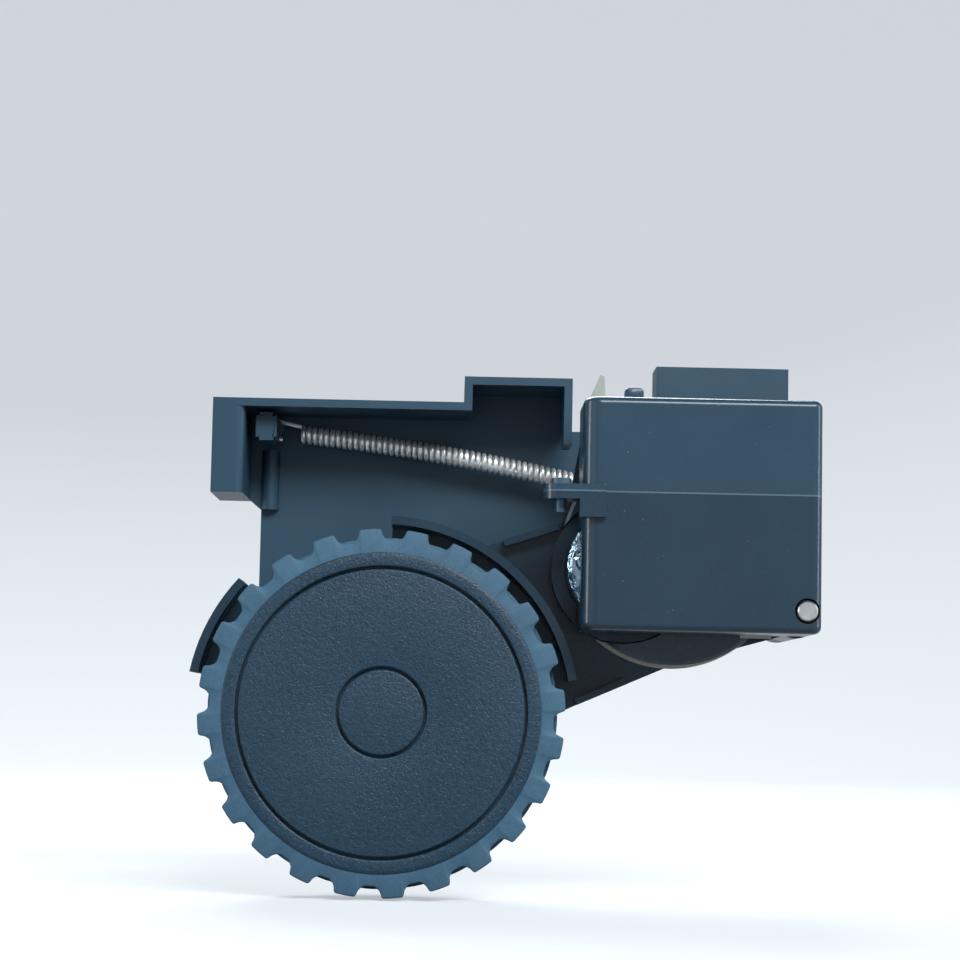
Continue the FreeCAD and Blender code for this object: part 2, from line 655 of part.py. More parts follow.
def web_rib(start, end):
    """A raised rib along one straight edge of the web."""
    heading = math.atan2(end[1] - start[1], end[0] - start[0])
    inward = heading - math.pi / 2
    corners = [start, end, polar(end, WEB_RIB_T, inward), polar(start, WEB_RIB_T, inward)]
    return prism(corners, CASE_FRONT, CASE_FRONT - WEB_RIB_H)


def arm_case():
    shapes = [rod(WHEEL, FENDER_PLATE_R, CASE_INNER, CASE_FRONT),
              prism(web_outline(), CASE_INNER, CASE_FRONT),
              gear_room(CASE_T, COVER_FRONT, CASE_INNER),
              rod(MOTOR, MOTOR_RING_R, CASE_FRONT, CASE_FRONT - MOTOR_RING_H),
              rod(PIVOT, PIVOT_BOSS_R, COVER_BACK + BUSH_SET, DRUM_FRONT),
              rod(WHEEL, BEARING_R + CASE_T, CASE_INNER, CASE_FRONT - WHEEL_GAP / 2),
              rod(ARM_PEG, PEG_R + 1, CASE_FRONT, COVER_BACK),
              rod(ARM_PEG, PEG_R, COVER_BACK, SPRING_Y + SPRING_WIRE),
              rod(ARM_PEG, PEG_R + SPRING_WIRE, SPRING_Y + 2 * SPRING_WIRE, SPRING_Y + SPRING_WIRE),
              rod(place(SENSOR_DX, SENSOR_DZ), SENSOR_MAGNET_R + WALL_T, CASE_INNER, COVER_BACK - 1)]
    for start, stop in FENDER_ARCS:
        shapes.append(wedge(WHEEL, FENDER_R + FENDER_T, FENDER_PLATE_R - 2, start, stop,
                            CASE_INNER, CASE_FRONT))
        shapes.append(wedge(WHEEL, FENDER_R + FENDER_T, FENDER_R, start, stop, CASE_FRONT, FENDER_FRONT))
    for start, end in (TOP_RIB, BOTTOM_RIB):
        shapes.append(web_rib(place(*start), place(*end)))
    for centre in cover_screw_places():
        shapes.append(rod(centre, SMALL_HEAD_R + SCREW_PAD, COVER_FRONT, CASE_INNER))
    body = join(shapes)
    cutters = [gear_room(0, COVER_FRONT + 1, CASE_INNER),
               rod(MOTOR, MOTOR_R + MOTOR_FIT, CASE_FRONT, CASE_FRONT - MOTOR_RING_H - PAST),
               rod(MOTOR, MOTOR_SHAFT_R * MOTOR_HOLE_SHARE, CASE_INNER + PAST, CASE_FRONT - PAST),
               rod(WHEEL, BEARING_R, CASE_INNER - BEARING_SHOULDER, CASE_FRONT - WHEEL_GAP / 2 - PAST),
               rod(WHEEL, RUN_R + BEARING_RIM, CASE_INNER + PAST, CASE_FRONT),
               rod(PIVOT, PIN_R + PIN_CLEAR, 0, -REACH),
               rod(PIVOT, BUSH_R, COVER_BACK + PAST, COVER_BACK + BUSH_SET - BUSH_L),
               rod(PIVOT, BUSH_R, DRUM_FRONT + BUSH_L, DRUM_FRONT - PAST),
               rod(FIRST_AXIS, GEAR_PIN_R, CASE_INNER + PAST, CASE_FRONT + GEAR_PIN_SKIN),
               rod(SECOND_AXIS, GEAR_PIN_R, CASE_INNER + PAST, CASE_FRONT + GEAR_PIN_SKIN),
               rod(place(SENSOR_DX, SENSOR_DZ), SENSOR_MAGNET_R, 0, COVER_BACK - SENSOR_MAGNET_L)]
    for side in (-1, 1):
        cutters.append(rod((MOTOR[0] + side * MOTOR_SCREW_DX, MOTOR[1]), SMALL_SCREW_R,
                           CASE_INNER + PAST, CASE_FRONT - PAST))
    for centre in cover_screw_places():
        cutters.append(rod(centre, SMALL_SCREW_R, COVER_FRONT + PAST, COVER_BACK - COVER_SCREW_L))
    return body.cut(join(cutters)).removeSplitter()


def gear_cover():
    plate = gear_room(CASE_T, COVER_BACK, COVER_FRONT)
    shapes = [plate, rod(WHEEL, BEARING_R + CASE_T, COVER_BACK + ARM_BEHIND, COVER_BACK)]
    for centre in cover_screw_places():
        shapes.append(rod(centre, SMALL_HEAD_R + SCREW_PAD, COVER_BACK, COVER_FRONT))
    cutters = [rod(WHEEL, BEARING_R, COVER_BACK + BEARING_PROUD, COVER_FRONT - PAST),
               rod(FIRST_AXIS, GEAR_PIN_R, COVER_BACK + PAST, COVER_FRONT - PAST),
               rod(SECOND_AXIS, GEAR_PIN_R, COVER_BACK + PAST, COVER_FRONT - PAST)]
    for centre in cover_screw_places():
        cutters.append(rod(centre, SMALL_SCREW_R, COVER_BACK + PAST, COVER_FRONT - PAST))
    return join(shapes).cut(join(cutters)).removeSplitter()


def cover_screws():
    head = COVER_BACK + SMALL_HEAD_H
    return Part.Compound([screw(centre, head, COVER_SCREW_L) for centre in cover_screw_places()])


def gear_pins():
    pins = [rod(axis, GEAR_PIN_R, COVER_BACK, CASE_FRONT + GEAR_PIN_SKIN) for axis in (FIRST_AXIS, SECOND_AXIS)]
    return Part.Compound(pins)


def wheel_bearings():
    rear = ring(WHEEL, BEARING_R, RUN_R, COVER_BACK + BEARING_PROUD, COVER_FRONT)
    front = ring(WHEEL, BEARING_R, RUN_R, CASE_INNER - BEARING_SHOULDER, CASE_FRONT - WHEEL_GAP / 2)
    return Part.Compound([rear, front])


def pivot_bushes():
    back = COVER_BACK + BUSH_SET
    rear = ring(PIVOT, BUSH_R, PIN_R + RUN_CLEAR, back, back - BUSH_L)
    front = ring(PIVOT, BUSH_R, PIN_R + RUN_CLEAR, DRUM_FRONT + BUSH_L, DRUM_FRONT)
    return Part.Compound([rear, front])


# Motor
def motor_can():
    can = turned(MOTOR, [(MOTOR_SHAFT_R + RUN_CLEAR, CASE_FRONT), (MOTOR_R, CASE_FRONT),
                         (MOTOR_R, MOTOR_FRONT + MOTOR_EDGE), (MOTOR_R - MOTOR_EDGE, MOTOR_FRONT),
                         (MOTOR_NOSE_R, MOTOR_FRONT), (MOTOR_NOSE_R, MOTOR_FRONT - MOTOR_NOSE_T),
                         (MOTOR_SHAFT_R + RUN_CLEAR, MOTOR_FRONT - MOTOR_NOSE_T)])
    holes = [rod((MOTOR[0] + side * MOTOR_SCREW_DX, MOTOR[1]), SMALL_SCREW_R, CASE_FRONT + PAST,
                 CASE_FRONT - MOTOR_SCREW_L)
             for side in (-1, 1)]
    return can.cut(join(holes))


def motor_screws():
    places = [(MOTOR[0] + side * MOTOR_SCREW_DX, MOTOR[1]) for side in (-1, 1)]
    head = CASE_INNER + SMALL_HEAD_H
    return Part.Compound([screw(centre, head, CASE_T + MOTOR_SCREW_L) for centre in places])


def rotor_shaft():
    back, _ = layer(0)
    return rod(MOTOR, MOTOR_SHAFT_R, back, MOTOR_FRONT - MOTOR_NOSE_T - MAGNET_GAP - MAGNET_T)


def encoder_magnet():
    back = MOTOR_FRONT - MOTOR_NOSE_T - MAGNET_GAP
    return ring(MOTOR, MAGNET_R, MOTOR_SHAFT_R, back, back - MAGNET_T)


def motor_drum():
    """The round base between the arm and the box, open at the left where the motor's ring passes."""
    body = rod(DRUM, DRUM_R, DRUM_BACK, DRUM_FRONT)
    body = body.makeChamfer(DRUM_EDGE, [edge for edge in body.Edges if len(edge.Vertexes) == 1
                                        and abs(edge.Vertexes[0].Y - DRUM_FRONT) < 0.01])
    cutters = [rod(MOTOR, MOTOR_RING_R + DRUM_CLEAR, DRUM_BACK + PAST, DRUM_FRONT - PAST),
               rod(PIVOT, PIVOT_BOSS_R + DRUM_CLEAR, DRUM_BACK + PAST, DRUM_FRONT - PAST)]
    return body.cut(join(cutters))


def drum_gasket():
    centre = (DRUM[0] - GASKET_LAP, DRUM[1] - GASKET_LAP)
    body = rod(centre, DRUM_R + GASKET_LAP, CASE_FRONT, DRUM_BACK)
    cutters = [rod(MOTOR, MOTOR_RING_R + DRUM_CLEAR, CASE_FRONT + PAST, DRUM_BACK - PAST),
               rod(PIVOT, PIVOT_BOSS_R + DRUM_CLEAR, CASE_FRONT + PAST, DRUM_BACK - PAST)]
    return body.cut(join(cutters))


def box_gasket():
    """The pale sheet behind the box, with a pointed tab that stands up at its top left corner."""
    x0, z0 = place(BOX_LEFT_DX + GASKET_INSET, BOX_BOTTOM_DZ + GASKET_INSET / 6)
    x1, z1 = place(BOX_RIGHT_DX - GASKET_INSET, BOX_TOP_DZ - GASKET_INSET)
    low_tab = z0 - 2 * GASKET_LAP
    low_left, low_right = x1 - LOW_TAB[0], x1 - LOW_TAB[1]
    point = x0 + TAB_W - TAB_POINT
    outline = [(x0, z0), (low_left, z0), (low_left, low_tab), (low_right, low_tab), (low_right, z0), (x1, z0),
               (x1, z1), (x0 + TAB_W, z1), (point, z1 + TAB_H), (point - 3 * TAB_POINT, z1 + TAB_H + TAB_POINT),
               (x0 + TAB_SLANT, z1)]
    sheet = prism(outline, DRUM_FRONT, BOX_BACK)
    cutters = [rod(MOTOR, MOTOR_R + DRUM_CLEAR, DRUM_FRONT + PAST, BOX_BACK - PAST),
               rod(PIVOT, PIN_R + PIN_CLEAR, DRUM_FRONT + PAST, BOX_BACK - PAST)]
    return sheet.cut(join(cutters))


# Box cover in two halves that part at the seam
def box_block(inset, z0, z1):
    x0 = WHEEL_X + BOX_LEFT_DX + inset
    x1 = WHEEL_X + BOX_RIGHT_DX - inset
    return block(x0, x1, BOX_BACK - inset, BOX_FRONT + inset, z0, z1)


def box_outer():
    z0, z1 = WHEEL_Z + BOX_BOTTOM_DZ, WHEEL_Z + BOX_TOP_DZ
    body = box_block(0, z0, z1)
    upright = [edge for edge in body.Edges if abs(edge.tangentAt(edge.FirstParameter).z) > 0.9
               and edge.CenterOfMass.y < (BOX_BACK + BOX_FRONT) / 2]
    middle_x = WHEEL_X + (BOX_LEFT_DX + BOX_RIGHT_DX) / 2
    body = body.makeFillet(BOX_LEFT_EDGE_R, [edge for edge in upright if edge.CenterOfMass.x < middle_x])
    upright = [edge for edge in body.Edges if abs(edge.tangentAt(edge.FirstParameter).z) > 0.9
               and edge.CenterOfMass.y < BOX_FRONT + 0.01 and edge.CenterOfMass.x > middle_x + 1]
    body = body.makeFillet(BOX_RIGHT_EDGE_R, upright)
    level = [edge for edge in body.Edges if edge.CenterOfMass.y < BOX_BACK - 0.5
             and min(abs(edge.CenterOfMass.z - z0), abs(edge.CenterOfMass.z - z1)) < 0.01]
    return body.makeFillet(BOX_CORNER_R, level)


def box_half(z_low, z_high):
    z0, z1 = WHEEL_Z + BOX_BOTTOM_DZ, WHEEL_Z + BOX_TOP_DZ
    shell = box_outer().cut(box_block(BOX_WALL, z0 + BOX_WALL, z1 - BOX_WALL))
    slab = block(-REACH, REACH, 0, -REACH, z_low, z_high)
    return shell.common(slab)


def ear(z0, z1):
    """One of the two ears that a screw draws together at the seam."""
    x0 = WHEEL_X + EAR_LEFT_DX
    x1 = WHEEL_X + EAR_RIGHT_DX
    front = BOX_FRONT - EAR_PROUD
    tongue = block(x0 + EAR_W / 2, x1, front + EAR_W, front, z0, z1)
    centre = FreeCAD.Vector(x0 + EAR_W / 2, front + EAR_W / 2, z0)
    nose = Part.makeCylinder(EAR_W / 2, z1 - z0, centre)
    hole = Part.makeCylinder(SMALL_SCREW_R, z1 - z0 + 2, centre - FreeCAD.Vector(0, 0, 1))
    return tongue.fuse(nose).cut(hole)


def box_tools():
    """What both halves leave room for: the motor, the pivot pin and the space inside."""
    return [rod(MOTOR, MOTOR_R + DRUM_CLEAR, BOX_BACK + PAST, MOTOR_FRONT - MOTOR_EDGE),
            rod(PIVOT, PIN_SIGHT_R, BOX_BACK + PAST, BOX_FRONT - PAST)]


def clear_room():
    """The inside of the box, that ears and posts don't reach into."""
    z0, z1 = WHEEL_Z + BOX_BOTTOM_DZ, WHEEL_Z + BOX_TOP_DZ
    return box_block(BOX_WALL, z0 + BOX_WALL, z1 - BOX_WALL)


def upper_box():
    seam = WHEEL_Z + SEAM_DZ
    shapes = [box_half(seam, WHEEL_Z + BOX_TOP_DZ + 1),
              ear(seam, seam + EAR_T).cut(clear_room())]
    x, z = place(BOX_LEFT_DX + NUB_FROM_LEFT, BOX_TOP_DZ)
    nub_back = BOX_BACK - GASKET_INSET
    shapes.append(block(x, x + NUB_W, nub_back, nub_back - NUB_D, z - NUB_ROOT, z + NUB_RISE))
    return join(shapes).cut(join(box_tools())).removeSplitter()


def lower_box():
    seam = WHEEL_Z + SEAM_DZ
    x0, x1 = WHEEL_X + BOX_LEFT_DX - LATCH_PROUD, WHEEL_X + EAR_RIGHT_DX
    front = BOX_FRONT - EAR_PROUD
    latch = block(x0, x1, front + LATCH_D, front, seam - LATCH_H, seam)
    post = rod(PIVOT, PIN_SIGHT_R + BOX_POST_T, BOX_BACK, BOX_FRONT + BOX_WALL).common(box_outer())
    shapes = [box_half(WHEEL_Z + BOX_BOTTOM_DZ - 1, seam),
              ear(seam - EAR_T, seam).cut(clear_room()),
              latch.cut(clear_room()), post]
    return join(shapes).cut(join(box_tools())).removeSplitter()


def box_screw():
    """The screw that stands through both ears, head up."""
    seam = WHEEL_Z + SEAM_DZ
    front = BOX_FRONT - EAR_PROUD
    base = FreeCAD.Vector(WHEEL_X + EAR_LEFT_DX + EAR_W / 2, front + EAR_W / 2, seam - EAR_T - BOX_SCREW_TIP)
    top = seam + EAR_T
    stem = Part.makeCylinder(SMALL_SCREW_R, top - base.z, base)
    head = Part.makeCylinder(SMALL_HEAD_R, SMALL_HEAD_H, FreeCAD.Vector(base.x, base.y, top))
    half = SMALL_SLOT_W / 2
    slot = block(base.x - SMALL_HEAD_R, base.x + SMALL_HEAD_R, base.y - half, base.y + half,
                 top + SMALL_HEAD_H / 2, top + SMALL_HEAD_H + PAST)
    return stem.fuse(head).cut(slot).removeSplitter()


def encoder_board():
    """The small board that stands beside the motor's magnet, on two pegs off the box's back wall."""
    x0 = MOTOR[0] + MAGNET_R + BOARD_T
    x1 = x0 + ENCODER_BOARD_L
    z0, z1 = MOTOR[1] - BOARD_W / 2, MOTOR[1] + BOARD_W / 2
    back = MOTOR_FRONT - BOARD_GAP
    board = block(x0, x1, back, back - BOARD_T, z0, z1)
    chip_x = x0 + ENCODER_CHIP_INSET
    chip = block(chip_x, chip_x + ENCODER_CHIP_W, back - BOARD_T, back - BOARD_T - ENCODER_CHIP_T,
                 MOTOR[1] - CHIP_H / 2, MOTOR[1] + CHIP_H / 2)
    inset = BOARD_PEG_INSET
    pegs = [rod((x1 - inset, z), BOARD_PEG_R, BOX_BACK - BOX_WALL, back) for z in (z0 + inset, z1 - inset)]
    return join([board, chip] + pegs)


# Wheel
def tread_outline(radius, floor, turn):
    """Flat-topped blocks with cut-cornered notches between them."""
    points = []
    step = 2 * math.pi / TREAD_BLOCKS
    top = BLOCK_TOP_SHARE * step / 2
    foot = step / 2 - NOTCH_FLOOR_SHARE * step / 2
    low = radius - (radius - floor) * TREAD_FOOT_SHARE
    for index in range(TREAD_BLOCKS):
        middle = turn + index * step
        for side, order in ((-1, 1), (1, -1)):
            flare = top + TREAD_FOOT_FLARE * step
            corners = [(floor, side * foot), (low, side * flare), (radius, side * top)]
            for distance, offset in corners[::order]:
                points.append(polar(WHEEL, distance, middle + offset))
    return points


def tyre():
    """Two rows of blocks side by side, the back row half a step round from the front one."""
    step = 2 * math.pi / TREAD_BLOCKS
    floor = WHEEL_R - TREAD_DEPTH
    middle = (WHEEL_BACK + WHEEL_FRONT) / 2
    back_row = prism(tread_outline(WHEEL_R, floor, 0), WHEEL_BACK, middle)
    front_row = prism(tread_outline(WHEEL_R, floor, step / 2), middle, WHEEL_FRONT)
    body = back_row.fuse(front_row)
    seat = rod(WHEEL, TYRE_SEAT_R, WHEEL_BACK + PAST, WHEEL_FRONT - PAST)
    recess = rod(WHEEL, CAP_R + CAP_CLEAR, WHEEL_FRONT + CAP_T, WHEEL_FRONT - PAST)
    return body.cut(seat.fuse(recess))


def wheel_hub():
    """The moulded rim, web and boss that the tyre is stretched over."""
    rim_in = TYRE_SEAT_R - HUB_RIM_T
    cap_back = WHEEL_FRONT + CAP_T
    web_back = cap_back + HUB_DISH + HUB_WEB_T
    back = WHEEL_BACK + HUB_SET_BACK
    profile = [(SHAFT_R, back), (HUB_BOSS_R, back), (HUB_BOSS_R, web_back), (rim_in, web_back),
               (rim_in, back), (TYRE_SEAT_R, back), (TYRE_SEAT_R, cap_back), (rim_in, cap_back),
               (rim_in, web_back - HUB_WEB_T), (HUB_BOSS_R, web_back - HUB_WEB_T),
               (HUB_BOSS_R, cap_back + HUB_SEAT), (SHAFT_R, cap_back + HUB_SEAT)]
    shapes = [turned(WHEEL, profile)]
    for index in range(HUB_RIBS):
        rib = block(WHEEL[0] + HUB_BOSS_R - HUB_RIB_T / 2, WHEEL[0] + rim_in + HUB_RIB_T / 2, web_back,
                    back - HUB_RIB_SET,
                    WHEEL[1] - HUB_RIB_T / 2, WHEEL[1] + HUB_RIB_T / 2)
        rib.rotate(FreeCAD.Vector(WHEEL[0], 0, WHEEL[1]), FreeCAD.Vector(0, 1, 0), index * 360 / HUB_RIBS)
        shapes.append(rib)
    return join(shapes)


def hub_cap():
    """The grained cover disc, with a groove near its edge and one round its middle."""
    front = WHEEL_FRONT - CAP_PROUD
    back = WHEEL_FRONT + CAP_T
    groove = CAP_GROOVE_W / 2
    floor = front + CAP_GROOVE_DEPTH
    return turned(WHEEL, [(0, back), (CAP_R, back), (CAP_R, front + CAP_EDGE_H), (CAP_R - CAP_EDGE, front),
                          (CAP_RING_R + groove, front), (CAP_RING_R + groove, floor),
                          (CAP_RING_R - groove, floor), (CAP_RING_R - groove, front),
                          (CAP_EYE_R + groove, front), (CAP_EYE_R + groove, floor),
                          (CAP_EYE_R - groove, floor), (CAP_EYE_R - groove, front), (0, front)])


def wheel_shaft():
    return rod(WHEEL, SHAFT_R, COVER_BACK + SHAFT_PROUD, WHEEL_FRONT + CAP_T + HUB_SEAT)


def hub_screw():
    """The screw that holds the hub on the shaft, under the cap."""
    return rod(WHEEL, HUB_SCREW_R, WHEEL_FRONT + CAP_T + HUB_SEAT, WHEEL_FRONT + CAP_T + MOTOR_FIT)


NODES = {
    "bracket": bracket,
    "pivot_pin": pivot_pin,
    "connector_socket": connector_socket,
    "connector_pins": connector_pins,
    "drop_board": drop_board,
    "tension_spring": tension_spring,
    "arm_case": arm_case,
    "gear_cover": gear_cover,
    "cover_screws": cover_screws,
    "gear_pins": gear_pins,
    "wheel_bearings": wheel_bearings,
    "pivot_bushes": pivot_bushes,
    "sensor_magnet": sensor_magnet,
    "motor_can": motor_can,
    "motor_screws": motor_screws,
    "motor_drum": motor_drum,
    "drum_gasket": drum_gasket,
    "box_gasket": box_gasket,
    "upper_box": upper_box,
    "lower_box": lower_box,
    "box_screw": box_screw,
    "encoder_board": encoder_board,
    "rotor_shaft": rotor_shaft,
    "motor_pinion": motor_pinion,
    "encoder_magnet": encoder_magnet,
    "first_gear": lambda: compound_gear(FIRST_AXIS, FIRST_TEETH, FIRST_MODULE, SECOND_MODULE,
                                        FIRST_SMALL_PHASE, 0),
    "second_gear": lambda: compound_gear(SECOND_AXIS, SECOND_TEETH, SECOND_MODULE, OUTPUT_MODULE,
                                         SECOND_SMALL_PHASE, 1),
    "output_gear": output_gear,
    "wheel_shaft": wheel_shaft,
    "wheel_hub": wheel_hub,
    "hub_cap": hub_cap,
    "hub_screw": hub_screw,
    "tyre": tyre,
}

os.makedirs("parts", exist_ok=True)
for node, make in NODES.items():
    shape = make()
    print(node, shape.ShapeType, len(shape.Solids), shape.isValid(), round(shape.Volume, 1))
    shape.exportStep("parts/" + node + ".step")
for name, axis in (("wheel", WHEEL), ("pivot", PIVOT), ("second", SECOND_AXIS), ("first", FIRST_AXIS),
                   ("motor", MOTOR)):
    print(name, "axis at x", round(axis[0], 4), "z", round(axis[1], 4))
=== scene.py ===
"""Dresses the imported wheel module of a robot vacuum: fine pieces, materials, stage, lights and camera."""

import json
import logging
import math
from collections.abc import Sequence
from dataclasses import dataclass, field
from enum import Enum

import bmesh
import bpy
from mathutils import Matrix, Vector

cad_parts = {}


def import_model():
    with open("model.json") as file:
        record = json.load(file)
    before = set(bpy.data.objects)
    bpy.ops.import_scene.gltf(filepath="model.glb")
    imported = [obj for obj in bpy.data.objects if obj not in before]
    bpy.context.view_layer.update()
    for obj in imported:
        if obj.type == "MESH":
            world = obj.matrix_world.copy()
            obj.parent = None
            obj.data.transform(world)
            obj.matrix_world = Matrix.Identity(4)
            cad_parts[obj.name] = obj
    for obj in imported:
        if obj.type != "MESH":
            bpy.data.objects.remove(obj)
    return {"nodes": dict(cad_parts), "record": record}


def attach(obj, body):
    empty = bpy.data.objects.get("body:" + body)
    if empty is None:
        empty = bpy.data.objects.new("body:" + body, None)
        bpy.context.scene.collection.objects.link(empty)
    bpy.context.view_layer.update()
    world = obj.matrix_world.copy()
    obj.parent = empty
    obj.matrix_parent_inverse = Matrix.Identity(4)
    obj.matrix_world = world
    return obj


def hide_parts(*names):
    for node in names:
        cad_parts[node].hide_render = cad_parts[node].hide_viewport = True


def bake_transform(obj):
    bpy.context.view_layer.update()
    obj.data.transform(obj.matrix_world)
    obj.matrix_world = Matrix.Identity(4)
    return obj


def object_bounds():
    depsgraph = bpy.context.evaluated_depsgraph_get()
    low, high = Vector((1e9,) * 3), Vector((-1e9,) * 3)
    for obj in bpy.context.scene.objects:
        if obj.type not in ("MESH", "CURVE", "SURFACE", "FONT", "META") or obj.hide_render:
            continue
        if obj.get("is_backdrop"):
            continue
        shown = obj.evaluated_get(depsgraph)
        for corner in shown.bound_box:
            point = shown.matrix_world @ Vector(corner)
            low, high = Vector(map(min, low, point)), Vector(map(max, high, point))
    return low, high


LOG = logging.getLogger("wheel_module")
MM = 0.001
TAU = 2 * math.pi
LONGEST_ARC = 0.45  # of a side, so that two rounded corners never meet on it

Point = tuple[float, float]
Triple = tuple[float, float, float]
Socket = bpy.types.NodeSocket
Tree = tuple[bpy.types.NodeTree, dict[str, str]]


class Body(Enum):
    """The CAD bodies that pieces ride on."""

    FRAME = "frame"
    ARM = "swing_arm"
    WHEEL = "wheel"


class Pattern(Enum):
    """How a finish is broken up under its colour."""

    GRAIN = "grain"
    SMOOTH = "smooth"
    WRINKLE = "wrinkle"
    CRINKLE = "crinkle"
    BRUSHED = "brushed"
    FIBRE = "fibre"


@dataclass(frozen=True)
class Noise:
    """A pattern's noise, and how its coordinates are turned, in radians, and stretched before it."""

    detail: float
    roughness: float = 0.5
    distortion: float = 0.0
    stretch: Triple = (1.0, 1.0, 1.0)
    turn: Triple = (0.0, 0.0, 0.0)


NOISES = {
    Pattern.GRAIN: Noise(5.0, 0.6),
    Pattern.SMOOTH: Noise(1.0, 0.6),
    Pattern.WRINKLE: Noise(3.0, distortion=1.1),
    Pattern.CRINKLE: Noise(2.0, 0.4, 2.2),
    Pattern.BRUSHED: Noise(4.0, stretch=(1.0, 0.08, 1.0)),
    Pattern.FIBRE: Noise(6.0, distortion=1.4, stretch=(1.0, 0.3, 0.2), turn=(0.3, 0.7, 0.2)),
}


@dataclass(frozen=True)
class Variation:
    """How far each finish strays from its own numbers: wide and narrow are the noise taken as the two ends."""

    mottle_detail: float = 3.0
    mottle_roughness: float = 0.55
    wide: Point = (0.25, 0.75)
    narrow: Point = (0.3, 0.7)
    roughness: float = 0.12
    bump_reach: float = 0.4
    coat_roughness: float = 0.12


@dataclass(frozen=True)
class Dust:
    """Pale specks: their cells and patches are in millimetres, their other sizes are shares."""

    cell: float = 2.0
    core: float = 0.035
    edge: float = 0.06
    patch: float = 9.0
    patch_detail: float = 2.0
    patch_ends: Point = (0.46, 0.56)
    colour: Triple = (0.3, 0.36, 0.4)
    rougher: float = 0.4


@dataclass(frozen=True)
class Band:
    """A level strip of another colour on a piece, here each a painted highlight, painted shade or painted light:
    its heights are in millimetres, its colour is linear.
    """

    low: float
    high: float
    colour: Triple
    fade: float = 2.0


@dataclass(frozen=True)
class Finish:
    """A surface: its colours are linear, its sizes are in millimetres."""

    name: str
    colour: Triple
    shade: Triple
    roughness: float
    pattern: Pattern = Pattern.SMOOTH
    metallic: float = 0.0
    grain_mm: float = 0.35
    bump: float = 0.1
    mottle_mm: float = 14.0
    dust: float = 0.0
    coat: float = 0.0
    specular: float = 0.5
    contrast: float = 0.1
    bands: tuple[Band, ...] = ()


# painted highlight: a pale line at the seam between the box halves, standing in for the gloss on the seam's edge
SEAM_HIGHLIGHT = Band(4.02, 4.42, (0.1, 0.16, 0.21), 0.08)
# painted shade: the sheet's middle strip is made near black for the shade it lies in
SHADED_SHEET_MIDDLE = Band(-12.0, 24.0, (0.012, 0.018, 0.024))
# painted light: the sheet's lower strip is made paler than its own colour to make up for the shade around it
LIT_SHEET_EDGE = Band(-80.0, -12.0, (0.82, 0.77, 0.66))

